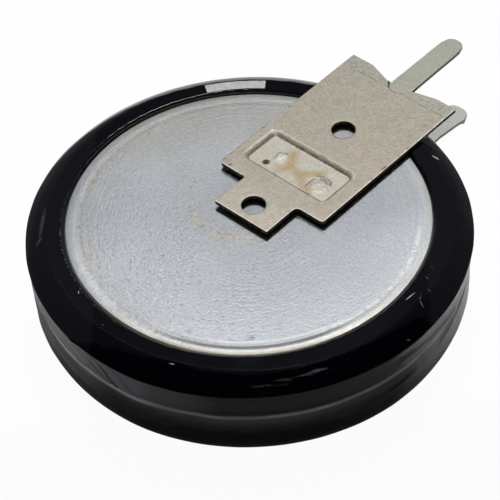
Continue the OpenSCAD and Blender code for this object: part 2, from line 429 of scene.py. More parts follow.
@dataclass(frozen=True)
class ShrinkFilm:
    """Glossy black shrink film with a printed bar, scuffed spots, dust and fine stretch lines, a painted dark
    reflection round the front of its shoulder, painted glints, and painted highlights and reflections on its
    wall with a soft pale milkiness.
    """

    # Painted dark reflection: the film is coloured blacker round the front of its shoulder.
    painted_dark_reflection: Colour = (0.0008, 0.0006, 0.0024)
    film: Colour = (0.0050, 0.0048, 0.0082)
    # Painted highlights and reflections on the wall, with a little pale milkiness of the stretched film.
    haze_and_highlight: Colour = (0.88, 0.87, 0.91)
    # Scuffed spots, dust and painted glints.
    scuff_and_glint: Colour = (0.5, 0.49, 0.5)
    # Painted glints along the front of the shoulder, from warm to cool.
    warm_glint: Colour = (1.0, 0.75, 0.6)
    cool_glint: Colour = (0.85, 0.9, 1.0)
    ink: Colour = (0.56, 0.57, 0.58)
    bar: PolarityBar = PolarityBar()
    waist_z: float = 2.8
    wall_top: float = 4.4
    glint_r: float = 10.42
    fold_lean: float = 0.85
    fold_edge: float = -3.9
    flecks: tuple[Fleck, ...] = (
        Fleck(-26.8, 9.85, 0.42, 0.12, 39.0, 1.8),
        Fleck(-158.7, 9.84, 0.26, 0.045, 5.0),
        Fleck(162.9, 9.19, 0.22, 0.05, -25.0),
        Fleck(-176.0, 8.98, 0.12, 0.04, 0.0),
        Fleck(177.5, 9.5, 0.1, 0.03, 30.0, 0.5),
        Fleck(-85.2, 9.28, 0.66, 0.05, -8.0, 1.2),
        Fleck(-84.0, 9.7, 0.3, 0.06, 20.0, 0.25),
        Fleck(-85.6, 9.95, 0.4, 0.06, 62.0, 0.3),
        Fleck(-80.5, 9.8, 0.3, 0.05, 75.0, 0.16),
        Fleck(-76.5, 9.35, 0.3, 0.09, 56.0, 0.1),
        Fleck(-95.0, 10.6, 0.3, 0.07, -30.0, 0.2),
        Fleck(-72.0, 9.3, 0.2, 0.05, 50.0, 0.1),
        # The last two flecks are a painted glint: a soft pale streak low on the shoulder at the left.
        Fleck(132.2, 9.88, 2.1, 0.24, -5.0, 0.085),
        Fleck(138.8, 10.04, 0.55, 0.2, -32.0, 0.085),
    )

    def pale_marks(self, at: CoinPoint, crumbs: Wire) -> Wire:
        """Masks everything pale on the film: scuffed spots and dust, and painted glints in some flecks, along
        the crease and along the lip.

        Args:
            at: Where the shaded point lies.
            crumbs: A fine noise that breaks the marks up.

        Returns:
            How pale the film is, by scuffed spots, dust and painted glints.
        """
        tree = at.tree
        scuffs_and_glints = self.flecks[0].mask(at)
        for fleck in self.flecks[1:]:
            scuffs_and_glints = scuffs_and_glints.at_least(fleck.mask(at))
        scuffs_and_glints = scuffs_and_glints * tree.ease(at.z, 4.0, 4.3) * tree.ease(crumbs, 0.36, 0.5)
        # Painted glints: a faint broken line along the crease and pale specks along the lip.
        crease = tree.painted("crease") * (tree.ease(crumbs, 0.56, 0.72) * 0.05 + 0.012)
        lip = tree.painted("lip") * tree.ease(tree.noise(at.place, 5.5, 2.0), 0.54, 0.62) * 0.25
        dusty = tree.ease(tree.noise(at.place, 0.35, 1.0), 0.5, 0.62)
        dust = tree.specks(at.place, 1.25, 0.035) * dusty * 0.35
        return scuffs_and_glints.at_least(crease).at_least(lip).at_least(dust)

    def streaks(self, at: CoinPoint, front: Wire) -> Wire:
        """Masks the painted glints: thin streaks that run along the shoulder, a little to the right of the
        front.

        Args:
            at: Where the shaded point lies.
            front: Its angle from the front in degrees.

        Returns:
            The strength of the painted glints.
        """
        tree = at.tree
        glint_map = tree.join(front * 0.16, at.radius * 6.5, 1.0)
        streaks = tree.ease(tree.noise(glint_map, 1.0, 3.0), 0.5, 0.7) * tree.ease(at.z, 4.46, 4.5)
        path = self.glint_r - front * 0.012
        streaks = streaks * tree.ease(front, -3.0, 3.0) * tree.ease(front, 26.0, 16.0)
        return streaks * tree.near(at.radius, path, 0.18) * 0.13

    def wall_haze_and_highlights(self, at: CoinPoint, rub: Wire) -> Wire:
        """Gives the painted highlights and reflections on the wall, with a little pale milkiness: at its
        waist and its lower edge, lighter at the left and the right, and with painted shade lines along the
        folds at the left.

        Args:
            at: Where the shaded point lies.
            rub: A soft noise drawn out round the coin.

        Returns:
            How hazy the wall is.
        """
        tree = at.tree
        far_left = tree.ease(at.aside, -5.5, -7.5)
        haze_and_sheen = (
            tree.near(at.z, self.waist_z, 0.13) * (rub * 0.16 + 0.25)
            + tree.ease(at.z, 2.2, 2.75) * tree.ease(at.z, 2.95, 2.86) * (0.11 - far_left * 0.08)
            + tree.ease(at.z, 2.74, 3.4) * (rub * 0.008 + 0.004)
            + tree.ease(at.z, 1.6, 0.9) * (rub * 0.02 + far_left * 0.035)
        )
        sway = (tree.noise(at.place, 0.9, 2.0) - 0.5) * 3.0
        fold = at.aside + at.z * self.fold_lean
        beyond_fold = tree.ease(fold + sway * 0.15, self.fold_edge, self.fold_edge - 0.15)
        left = beyond_fold * tree.ease(at.z, 2.7, 2.9)
        # Painted shade: dark lines along the folds at the left, cut into the lighter band on the upper wall.
        first_line = tree.near(fold + sway * 0.1, self.fold_edge + 0.16, 0.2) * 0.9
        fold_lines = first_line.at_least(tree.near(fold, self.fold_edge + 1.0, 0.12) * 0.5)
        right = tree.ease(at.aside + sway, 6.6, 8.2) * 0.8
        waist_line = tree.near(at.z, self.waist_z - 0.08, 0.13) * tree.ease(at.aside, -3.9, -5.6) * 0.5
        band = tree.ease(at.aside, -1.5, -4.0) * 0.09 + tree.ease(at.aside, -4.5, -5.8) * 0.11 + 0.012
        band = band * tree.ease(at.z, 2.86, 2.95) * (1.0 - fold_lines) * (1.0 - left)
        return haze_and_sheen + left * 0.18 + right * 0.03 + waist_line + band

    def bare_film(self, at: CoinPoint) -> bpy.types.NodeSocket:
        """Colours the clean film, with a painted dark reflection round the front of its shoulder.

        Args:
            at: Where the shaded point lies.

        Returns:
            The colour's socket.
        """
        tree = at.tree
        painted_dark_reflection = tree.ease(at.aside - at.z * 0.3, -8.98, -8.88) * tree.ease(at.aside, 8.2, 7.9)
        around = (1.0 - painted_dark_reflection).at_least(tree.ease(at.radius, 9.75, 9.7) * 0.3)
        return tree.mix(around, self.painted_dark_reflection, self.film)

    def material(self) -> bpy.types.Material:
        """Builds the film's material.

        Returns:
            The material.
        """
        tree = ShaderTree("black_shrink_film")
        at = tree.coin_point()
        degrees = at.turn * (180.0 / math.pi)
        front = degrees - math.degrees(FRONT)
        grain = tree.noise(at.place, 14.0, 3.0)
        crumbs = tree.noise(at.place, 9.0, 2.0)
        rub_map = tree.join(degrees * 0.12, at.z * 1.2, 3.0)
        rub = tree.ease(tree.noise(rub_map, 1.0, 4.0), 0.25, 0.7)
        wall = tree.ease(at.z, self.wall_top + 0.04, self.wall_top) * tree.ease(at.radius, 10.0, 10.2)
        print_edge = at.radius + (grain - 0.5) * 0.05
        ink = self.bar.mask(tree, print_edge, degrees) * tree.ease(at.z, 4.9, 5.1)
        ink = ink * (1.0 - tree.specks(at.place, 3.1, 0.11) * 0.55)
        ink_grain = tree.ease(tree.noise(at.place, 5.0, 3.0), 0.35, 0.7)
        pale = self.pale_marks(at, crumbs)
        # Painted glints: thin warm to cool streaks along the shoulder.
        glint_tone = tree.mix(tree.ease(front, 4.0, 12.0), self.warm_glint, self.cool_glint)
        coat = Coat(tree, self.bare_film(at))
        coat.lay(self.streaks(at, front), glint_tone)
        # Painted highlights and reflections on the wall.
        coat.lay((self.wall_haze_and_highlights(at, rub) * wall).at_most(1.0), self.haze_and_highlight)
        # Scuffed spots and dust, with painted glints.
        coat.lay(pale, self.scuff_and_glint)
        coat.lay(ink, tree.mix(ink_grain, self.ink, shaded(self.ink, 0.82)))
        rough = 0.06 + tree.noise(at.place, 0.7, 2.0) * 0.05 + wall * (0.1 + rub * 0.08)
        rough = rough + ink * 0.3 + pale * 0.3 + tree.painted("crease") * 0.1
        stretch = tree.noise(tree.join(degrees * 0.19, at.radius * 0.35, at.z * 0.25), 5.5, 3.0)
        soft = tree.noise(at.place, 1.5, 2.0)
        normal = tree.bump(stretch * (wall * 0.9 + 0.1), 0.006)
        normal = tree.bump(soft * (wall * 0.7 + 0.3), 0.008, normal)
        normal = tree.bump(grain, 0.0006, normal)
        return tree.finish(Base_Color=coat.colour, Roughness=rough, Normal=normal, Metallic=0.0, IOR=1.42)


@dataclass(frozen=True)
class SatinSteel:
    """Satin steel with fine grain, turning rings, smudges and small dark specks, with painted shade, a
    painted shadow of the plate and painted highlights and glints on its edge.
    """

    name: str = "satin_lid_steel"
    bright: Colour = (0.635, 0.665, 0.705)
    dull: Colour = (0.46, 0.485, 0.52)
    # Painted warm highlight on the rolled edge's lip at the front.
    lip: Colour = (0.88, 0.84, 0.73)
    # Painted pale sheen on the rolled edge at the right.
    rolled: Colour = (0.60, 0.59, 0.54)
    stain: Colour = (0.36, 0.31, 0.25)
    smear: Colour = (0.60, 0.57, 0.46)
    # Painted shade with a warm tint towards the far side.
    far_shade: Colour = (0.42, 0.38, 0.26)
    streak: Colour = (0.22, 0.24, 0.27)
    brush_dark: Colour = (0.16, 0.17, 0.19)
    brush_light: Colour = (0.95, 0.97, 1.0)
    scratch: Colour = (0.10, 0.10, 0.11)
    # Painted shadow of the plate and tab on the lid.
    plate_shadow: Colour = (0.012, 0.009, 0.007)
    # Painted shade on the lid's skirt below its face.
    deep: Colour = (0.02, 0.02, 0.022)
    rough: float = 0.40
    metallic: float = 0.62
    # Strength of the stains and wear and of most of the painted shade, shadow and glints.
    wear_and_painted_light: float = 1.0

    def brush(self, coat: Coat, at: CoinPoint, turned: Wire, grain: Wire) -> None:
        """Adds the streaks and the light and dark strokes that run round the face.

        Args:
            coat: The steel's colour.
            at: Where the shaded point lies.
            turned: A noise drawn out round the face.
            grain: The fine grain.
        """
        tree = at.tree
        streaks = tree.ease(turned, 0.60, 0.74) * tree.ease(tree.noise(at.place, 0.45, 2.0), 0.4, 0.6)
        coat.lay(streaks * 0.35 * self.wear_and_painted_light, self.streak)
        stroke_map = tree.join(at.radius * 10.0, at.turn * 16.0, 4.0)
        strokes = tree.noise(stroke_map, 1.0, 3.0, 0.65) * 0.7 + grain * 0.3
        zone = tree.ease(at.aside, 6.0, -1.0) * (tree.ease(at.nearer, -4.0, 2.0) * 0.75 + 0.25)
        zone = zone * tree.ease(at.radius, 8.6, 8.0) * self.wear_and_painted_light
        coat.lay(tree.ease(strokes, 0.48, 0.36) * zone * 0.42, self.brush_dark)
        coat.lay(tree.ease(strokes, 0.56, 0.68) * zone * 0.34, self.brush_light)

    def painted_shade(self, coat: Coat, at: CoinPoint) -> None:
        """Paints shade on the face: darker round the plate, from the middle towards the far side with a warm
        tint further back, and at the back right.

        Args:
            coat: The steel's colour.
            at: Where the shaded point lies.
        """
        tree = at.tree
        # Painted shade round the plate, towards the back and at the back right.
        from_plate = tree.length(at.aside - 2.2, at.nearer - 2.0)
        coat.lay(tree.ease(from_plate, 8.0, 1.5) * 0.2 * self.wear_and_painted_light, BLACK)
        coat.lay(tree.ease(at.nearer, 3.0, -1.0) * 0.11, BLACK)
        coat.lay(tree.ease(at.nearer, -2.5, -7.0) * self.wear_and_painted_light * 0.28, self.far_shade)
        beyond = tree.ease(at.aside, 3.5, 6.5) * tree.ease(at.nearer, 2.5, -1.0) * self.wear_and_painted_light
        coat.lay(beyond * 0.11, BLACK)

    def rim(self, coat: Coat, at: CoinPoint) -> None:
        """Paints the rolled edge's light: a warm highlight on its lip at the front, painted shade inside it
        there, a pale sheen at the right and broken glints.

        Args:
            coat: The steel's colour.
            at: Where the shaded point lies.
        """
        tree = at.tree
        front, to_right = tree.ease(at.nearer, 4.0, 7.5), tree.ease(at.aside, 2.0, 4.5)
        # Painted light on the rolled edge: a warm highlight on the lip and painted shade inside it at the
        # front, and a pale sheen at the right.
        coat.lay(tree.ease(at.radius, 8.42, 8.5) * front * 0.7, self.lip)
        coat.lay(tree.ease(at.radius, 7.95, 8.1) * front * 0.22, BLACK)
        coat.lay(tree.ease(at.radius, 8.3, 8.4) * to_right * 0.4, self.rolled)
        # Painted glints on the edge at the right and the left, broken by a noise.
        right = tree.near(at.radius, 8.18, 0.2) * to_right * tree.ease(at.nearer, 0.0, 2.5)
        left = tree.near(at.radius, 8.35, 0.4) * tree.ease(at.aside, -2.0, -4.5)
        left = left * tree.ease(at.nearer, 0.5, 2.5)
        broken = tree.ease(tree.noise(at.place, 5.0, 3.0), 0.35, 0.6) * 0.6 + 0.1
        coat.lay((right * 0.7).at_least(left * 0.5) * broken * self.wear_and_painted_light, WHITE)

    def stains(self, coat: Coat, at: CoinPoint) -> Wire:
        """Adds the arc and band of wear with their rust, and the small dark dots.

        Args:
            coat: The steel's colour.
            at: Where the shaded point lies.

        Returns:
            Where the rust is.
        """
        tree = at.tree
        crumbs = tree.noise(at.place, 6.0, 3.0, 0.65)
        band = tree.ease(at.radius, 7.3, 7.9) * tree.ease(at.radius, 8.5, 8.1)
        left = tree.ease(at.aside, 1.0, -5.0) * tree.ease(at.nearer, 6.0, 0.0)
        worn_arc = tree.near(tree.length(at.x - 0.9, at.y - 1.0), 2.72, 0.6) * tree.ease(at.x, 0.7, 0.1)
        spots = (band * (left * 0.9 + 0.1) + worn_arc * 0.95).at_most(1.0)
        rust = spots * tree.ease(crumbs, 0.5, 0.64) * self.wear_and_painted_light
        smears = spots * tree.ease(tree.noise(at.place, 0.7, 2.0), 0.35, 0.6) * self.wear_and_painted_light
        pits = tree.specks(at.place, 3.3, 0.07) * tree.ease(tree.noise(at.place, 0.6, 2.0), 0.42, 0.56)
        pits = pits * (1.0 - tree.ease(at.nearer, 2.0, 6.0) * 0.6)
        dots = tree.specks(at.place, 1.1, 0.04).at_least(pits) * self.wear_and_painted_light
        coat.lay(smears * (worn_arc * 0.15 + 0.3), self.smear)
        coat.lay(rust * (worn_arc * 0.22 + 0.58), self.stain)
        coat.lay(dots * 0.6, shaded(self.stain, 0.35))
        return rust

    def scratches(self, coat: Coat, at: CoinPoint) -> None:
        """Adds the scratch at the left, the hair lines at the front and painted shade in the groove at the
        front.

        Args:
            coat: The steel's colour.
            at: Where the shaded point lies.
        """
        tree = at.tree
        scratch = tree.near(at.aside + at.nearer * 0.05, -5.52, 0.035) * tree.near(at.nearer, 2.75, 0.75)
        hair_map = tree.join(at.radius * 5.0, at.turn * 11.0, 7.0)
        hairs = tree.ease(tree.noise(hair_map, 1.0, 2.0), 0.6, 0.68) * tree.near(at.radius, 7.72, 0.28)
        hairs = hairs * tree.ease(at.nearer, 6.6, 7.3)
        coat.lay(scratch.at_least(hairs) * self.wear_and_painted_light * 0.62, self.scratch)
        # Painted shade in the groove at the front, in a darker stain colour.
        groove = tree.near(at.radius, 8.2, 0.16) * tree.ease(at.nearer, 5.0, 7.0) * self.wear_and_painted_light
        coat.lay(groove * 0.15, shaded(self.stain, 0.6))

    def plate_shadow_mask(self, at: CoinPoint) -> Wire:
        """Masks the painted shadow of the plate and tab on the lid, left open under the two holes.

        Args:
            at: Where the shaded point lies.

        Returns:
            How dark the painted shadow is.
        """
        tree = at.tree
        along = at.x - PLATE_SHADOW_SHIFT * math.cos(FRONT)
        across = at.y - PLATE_SHADOW_SHIFT * math.sin(FRONT)
        plate = tree.ease(along, 1.72, 1.78) * tree.ease((across - 0.06).size(), 3.32, 3.26)
        tab = tree.ease(along, -0.54, -0.48) * tree.ease((across - 0.04).size(), 1.67, 1.61)
        cover = plate.at_least(tab) * tree.ease(at.x, 8.4, 8.3)
        for hole_x, hole_y in PILOT_HOLES:
            cover = cover * tree.ease(tree.length(along - hole_x, across - hole_y), 0.58, 0.64)
        return cover * (1.0 - tree.ease(tree.noise(at.place, 3.5, 3.0), 0.54, 0.68) * 0.3)

    def material(self) -> bpy.types.Material:
        """Builds the steel's material.

        Returns:
            The material.
        """
        tree = ShaderTree(self.name)
        at = tree.coin_point()
        cloud = tree.ease(tree.noise(at.place, 0.28, 3.0), 0.3, 0.7)
        grain = tree.noise(at.place, 9.5, 3.0, 0.6)
        turned = tree.noise(tree.join(at.radius * 9.0, at.turn * 24.0, 0.0), 1.0, 3.0, 0.6)
        rings = tree.noise(tree.join(at.radius * 6.0, at.turn * 1.3, 0.0), 1.0, 3.0)
        coarse = turned * 0.55 + grain * 0.45
        skin = tree.ease(coarse, 0.34, 0.66)
        coat = Coat(tree, tree.mix(cloud * 0.3 + skin * 0.7, self.dull, self.bright))
        self.brush(coat, at, turned, grain)
        self.painted_shade(coat, at)
        self.rim(coat, at)
        rust = self.stains(coat, at)
        self.scratches(coat, at)
        # Painted shade: below its face the lid is painted nearly black.
        coat.lay(tree.ease(at.z, 4.99, 4.88) * self.wear_and_painted_light * 0.93, self.deep)
        # Painted shadow of the plate and tab on the lid.
        coat.lay(self.plate_shadow_mask(at) * 0.9 * self.wear_and_painted_light, self.plate_shadow)
        rough = self.rough + (cloud - 0.5) * 0.06 + (coarse - 0.5) * 0.3 + (rings - 0.5) * 0.12
        rough = (rough + rust * 0.1).at_least(0.12)
        normal = tree.bump(coarse, 0.011)
        normal = tree.bump(grain, 0.005, normal)
        normal = tree.bump(rings, 0.005, normal)
        return tree.finish(
            Base_Color=coat.colour, Roughness=rough, Normal=normal, Metallic=self.metallic
        )


@dataclass(frozen=True)
class NickelSheet:
    """Warm grey plated sheet with a mottled skin, spot welds and heat tint, with dark cut edges that are
    partly painted shade, painted shade in its bends and painted highlights on its rims.
    """

    name: str
    plain: Colour = (0.435, 0.397, 0.33)
    light: Colour = (0.635, 0.59, 0.51)
    panel: Colour = (0.65, 0.63, 0.545)
    # Dark colour of the cut edges, partly their own and partly painted shade; also the painted shade at the
    # bend and the seat's step, the nicks and the dots.
    edge: Colour = (0.085, 0.07, 0.056)
    tint: Colour = (0.46, 0.33, 0.14)
    pin: Colour = (0.495, 0.50, 0.43)
    # The pin's cut edges, painted lighter than the plate's: painted shade.
    pin_edge: Colour = (0.30, 0.30, 0.25)
    dim: Colour = (0.06, 0.04, 0.0)
    rose: Colour = (0.62, 0.50, 0.42)
    olive: Colour = (0.48, 0.51, 0.40)
    scratch: Colour = (0.30, 0.25, 0.13)
    wall_low: Colour = (0.66, 0.62, 0.48)
    wall_high: Colour = (0.98, 0.95, 0.80)
    # Painted shade at the foot of the panel's wall.
    foot: Colour = (0.16, 0.13, 0.09)
    # Painted highlight on the ridge of the panel's far edges.
    ridge: Colour = (1.0, 0.95, 0.82)
    # Painted highlight on the near top rims.
    rim: Colour = (1.0, 0.96, 0.84)
    # Pale bare metal on the welds, and a painted highlight at the panel's corner.
    sparkle: Colour = (0.97, 0.96, 0.95)
    metallic: float = 0.6
    rough: float = 0.43
    shift: float = 0.0
    bend_x: float = 11.06
    end_x: float = 12.0

    def clouds(self, coat: Coat, place: bpy.types.NodeSocket, x: Wire, y: Wire) -> None:
        """Adds the plate's faint grey, rose and olive clouds.

        Args:
            coat: The sheet's colour.
            place: The shaded point.
            x: How far the point lies along the terminal.
            y: How far it lies across.
        """
        tree = coat.tree
        coat.lay(tree.ease(tree.noise(place, 0.5, 2.0), 0.45, 0.7) * 0.3, self.pin)
        coat.lay(tree.ease(x, 0.5, 2.5) * tree.ease(x, self.end_x, self.end_x - 0.5) * 0.13, self.dim)
        tints = tree.noise(tree.join(x + 9.0, y, 3.0), 1.5, 3.0, 0.6)
        coat.lay(tree.ease(tints, 0.52, 0.66) * 0.3, self.rose)
        coat.lay(tree.ease(tints, 0.46, 0.32) * 0.3, self.olive)

    def end_strip(self, coat: Coat, x: Wire, y: Wire, skin: Wire) -> None:
        """Colours the bent end of the plate and the pin, with their scratches and spots.

        Args:
            coat: The sheet's colour.
            x: How far the point lies along the terminal.
            y: How far it lies across.
            skin: The mottled grain.
        """
        tree = coat.tree
        strip = tree.ease(x, 11.02, 11.1) * tree.ease(x, 12.6, 12.5)
        seat = tree.painted("seat")
        pin_tone = tree.mix(skin * 0.7, shaded(self.pin, 0.88), shaded(self.pin, 1.1))
        coat.lay((strip * 0.75).at_least(seat), pin_tone)
        scratch_map = tree.join(x * 3.0, y * 16.0, 2.0)
        scratches = tree.ease(tree.noise(scratch_map, 1.0, 2.0), 0.55, 0.7) * strip
        spots = tree.ease(tree.noise(tree.join(x, y, 8.0), 4.0, 3.0, 0.65), 0.52, 0.62) * strip
        coat.lay(scratches.at_least(spots * (1.0 - seat)) * 0.42, self.scratch)

    def material(self) -> bpy.types.Material:
        """Builds the sheet's material.

        Returns:
            The material.
        """
        tree = ShaderTree(self.name)
        place = tree.place()
        x, y, _ = tree.axes(place)
        x = x - self.shift
        mottle = tree.noise(place, 2.6, 4.0, 0.7)
        grain = tree.noise(place, 7.5, 3.0, 0.65)
        fine = tree.noise(place, 15.0, 2.0, 0.6)
        pock = tree.noise(place, 6.0, 3.0, 0.6)
        skin = tree.ease(grain * 0.6 + mottle * 0.4, 0.34, 0.66)
        crumbs = tree.ease(tree.noise(place, 4.0, 3.0), 0.4, 0.62)
        sparkle = tree.ease(tree.noise(place, 4.5, 3.0), 0.36, 0.6)
        side, wall, pale = tree.painted("side"), tree.painted("wall"), tree.painted("pale")
        # Painted highlight on the ridge of the panel's far edges, broken by a noise.
        ridge = tree.painted("ridge") * tree.ease(tree.noise(place, 5.0, 3.0), 0.34, 0.52)
        on_pin = tree.ease(x, 11.9, 12.4)
        # Cut edges painted dark, partly their own dark metal and partly painted shade; less on the pin.
        edge_dark_and_shade = (side * side * (0.75 + crumbs * 0.4)).at_most(1.0) * (1.0 - on_pin * 0.6)
        pin_edge = side * on_pin
        heat = tree.painted("heat_tint") * tree.ease(mottle * 0.6 + grain * 0.4, 0.26, 0.6)
        bend = tree.near(x, self.bend_x, 0.04) * tree.ease(mottle, 0.42, 0.56)
        dots = tree.specks(place, 2.1, 0.05) * tree.ease(tree.noise(place, 0.9, 1.0), 0.46, 0.56)
        coat = Coat(tree, tree.mix(skin, self.plain, self.light))
        self.clouds(coat, place, x, y)
        panel_tone = tree.mix(skin, shaded(self.panel, 0.82), shaded(self.panel, 1.1))
        coat.lay(tree.painted("panel") * 0.75, panel_tone)
        self.end_strip(coat, x, y, skin)
        coat.lay(heat.at_most(0.85), self.tint)
        # Painted shade along the bend line and along the step of the pin's seat.
        coat.lay(bend * 0.75, self.edge)
        coat.lay(tree.painted("scoop") * 0.7, self.edge)
        coat.lay(wall * 0.85, tree.mix(skin, self.wall_low, self.wall_high))
        # Painted shade in the corner at the foot of the panel's wall.
        coat.lay(tree.painted("foot") * (0.6 + crumbs * 0.4) * 0.75, self.foot)
        # Painted highlight on the panel's far ridge.
        coat.lay(ridge, self.ridge)
        # Pale bare metal on the welds with painted sparkle, and a painted highlight at the panel's corner.
        coat.lay(pale * (sparkle * 0.8 + 0.1), self.sparkle)
        # Painted highlight on the near top rims.
        coat.lay(tree.painted("rim") * (crumbs * 0.4 + 0.6), self.rim)
        coat.lay(edge_dark_and_shade, self.edge)
        coat.lay(tree.painted("nick") * 0.95, shaded(self.edge, 0.5))
        coat.lay(dots * 0.55, self.edge)
        # The pin's cut edges painted lighter: painted shade.
        coat.lay(pin_edge, self.pin_edge)
        rough = self.rough + wall * 0.2 + (mottle - 0.5) * 0.2 + (grain - 0.5) * 0.35 + edge_dark_and_shade * 0.2
        metallic = self.metallic - ridge * 0.55 - pin_edge * 0.4 - pale * sparkle * 0.3
        on_plate = 1.0 - tree.ease(x, 12.0, 12.6) * 0.75
        normal = tree.bump(grain * on_plate, 0.013)
        normal = tree.bump(fine * on_plate, 0.007, normal)
        normal = tree.bump(pock * tree.painted("weld"), 0.045, normal)
        return tree.finish(
            Base_Color=coat.colour, Roughness=rough.at_least(0.2), Normal=normal, Metallic=metallic
        )


@dataclass(frozen=True)
class InnerFinish:
    """A plain matt finish of a piece inside the cell, with a fine grain."""

    name: str
    low: Colour
    high: Colour
    scale: float
    rough: float
    depth: float

    def material(self) -> bpy.types.Material:
        """Builds the material.

        Returns:
            The material.
        """
        tree = ShaderTree(self.name)
        grain = tree.noise(tree.place(), self.scale, 4.0, 0.6)
        colour = tree.mix(tree.ease(grain, 0.3, 0.7), self.low, self.high)
        rough = self.rough + (grain - 0.5) * 0.2
        normal = tree.bump(grain, self.depth)
        return tree.finish(Base_Color=colour, Roughness=rough, Normal=normal, Metallic=0.0)


# ------------------------------------------------------------------ mesh tools


def new_piece(
    name: str, points: np.ndarray, faces: Iterable[Sequence[int]], material: bpy.types.Material
) -> bpy.types.Object:
    """Makes a smooth mesh piece.

    Args:
        name: Name of the piece.
        points: Its corners in millimetres.
        faces: Its faces as corner numbers.
        material: Its finish.

    Returns:
        The object, linked to the scene.
    """
    mesh = bpy.data.meshes.new(name)
    mesh.from_pydata((points * MM).tolist(), [], list(faces))
    work = bmesh.new()
    work.from_mesh(mesh)
    bmesh.ops.recalc_face_normals(work, faces=work.faces)
    work.to_mesh(mesh)
    work.free()
    mesh.materials.append(material)
    mesh.shade_smooth()
    made = bpy.data.objects.new(name, mesh)
    bpy.context.scene.collection.objects.link(made)
    return made


def paint(piece: bpy.types.Object, name: str, values: np.ndarray) -> None:
    """Stores a value at each corner of a piece, for its material."""
    layer = piece.data.attributes.new(name, "FLOAT", "POINT")
    layer.data.foreach_set("value", np.asarray(values, np.float32))


def ease(value: np.ndarray, start: float, end: float) -> np.ndarray:
    """Turns smoothly from 0 at start to 1 at end."""
    t = np.clip((value - start) / (end - start), 0.0, 1.0)
    return t * t * (3.0 - 2.0 * t)


def swell(value: np.ndarray, middle: float, reach: float) -> np.ndarray:
    """Is 1 at the middle and fades out like a bell over reach to both sides."""
    return np.exp(-(((value - middle) / reach) ** 2))


def from_front(turn: np.ndarray) -> np.ndarray:
    """Turns angles about the axis into degrees from the coin's front, from -180 to 180."""
    return (np.degrees(turn) - math.degrees(FRONT) + 180.0) % 360.0 - 180.0


def arc(centre: Point2, radius: float, start: float, end: float, steps: int) -> list[Point2]:
    """Lists points on an arc.

    Args:
        centre: Its middle.
        radius: Its radius.
        start: Its first angle in degrees.
        end: Its last angle in degrees.
        steps: The number of stretches.

    Returns:
        Its points, both ends among them.
    """
    angles = np.radians(np.linspace(start, end, steps + 1))
    return [(centre[0] + radius * math.cos(a), centre[1] + radius * math.sin(a)) for a in angles]


def straight(start: Point2, end: Point2, steps: int) -> list[Point2]:
    """Lists points on a straight line, both ends among them."""
    (x0, y0), (x1, y1) = start, end
    return [(x0 + (x1 - x0) * t, y0 + (y1 - y0) * t) for t in np.linspace(0.0, 1.0, steps + 1)]


def smooth(points: list[Point2], rounds: int) -> list[Point2]:
    """Rounds a line by cutting its corners, and keeps its ends.

    Args:
        points: The line's points.
        rounds: How often its corners are cut.

    Returns:
        The points of the rounded line.
    """
    line = np.array(points)
    for _ in range(rounds):
        first, last = line[:-1] * 0.75 + line[1:] * 0.25, line[:-1] * 0.25 + line[1:] * 0.75
        cut = np.stack([first, last], axis=1).reshape(-1, 2)
        line = np.vstack([line[:1], cut[1:-1], line[-1:]])
    return [(float(r), float(z)) for r, z in line]


def chained(*parts: list[Point2]) -> np.ndarray:
    """Joins stretches of a line and drops the points that repeat.

    Args:
        parts: The stretches, in order.

    Returns:
        The points of the whole line.
    """
    points: list[Point2] = []
    for part in parts:
        for point in part:
            if not points or math.dist(point, points[-1]) > 1e-6:
                points.append(point)
    return np.array(points)


@dataclass(frozen=True)
class Ripple:
    """A gentle wave round the axis, made of seeded sines."""

    seed: int
    lowest: int
    highest: int
    count: int

    def __call__(self, turn: np.ndarray) -> np.ndarray:
        """Works out the wave.

        Args:
            turn: Angles round the axis.

        Returns:
            The wave at these angles, within about one either way.
        """
        rng = np.random.default_rng(self.seed)
        total = np.zeros_like(turn)
        for _ in range(self.count):
            waves = int(rng.integers(self.lowest, self.highest + 1))
            total += rng.uniform(0.4, 1.0) * np.sin(waves * turn + rng.uniform(0.0, 2.0 * math.pi))
        return total / self.count**0.5


def revolved(section: np.ndarray, turns: int, closed: bool) -> tuple[np.ndarray, list[Face]]:
    """Turns a section round the axis.

    Args:
        section: Points of radius and height. An open section starts and ends on the axis.
        turns: Number of steps round the axis.
        closed: Whether the section is a closed loop.

    Returns:
        The corners, section by section round the axis, and the faces.
    """
    angles = np.linspace(0.0, 2.0 * math.pi, turns, endpoint=False)
    rows = section if closed else section[1:-1]
    count = len(rows)
    across, along = np.outer(np.cos(angles), rows[:, 0]), np.outer(np.sin(angles), rows[:, 0])
    heights = np.broadcast_to(rows[:, 1], (turns, count))
    ring = np.stack([across, along, heights], axis=-1).reshape(-1, 3)
    faces: list[Face] = []
    span = count if closed else count - 1
    for i in range(turns):
        a, b = i * count, (i + 1) % turns * count
        for j in range(span):
            k = (j + 1) % count
            faces.append((a + j, b + j, b + k, a + k))
    if closed:
        return ring, faces
    first, last = len(ring), len(ring) + 1
    poles = np.array([[0.0, 0.0, section[0, 1]], [0.0, 0.0, section[-1, 1]]])
    for i in range(turns):
        a, b = i * count, (i + 1) % turns * count
        faces.append((first, b, a))
        faces.append((last, a + count - 1, b + count - 1))
    return np.vstack([ring, poles]), faces


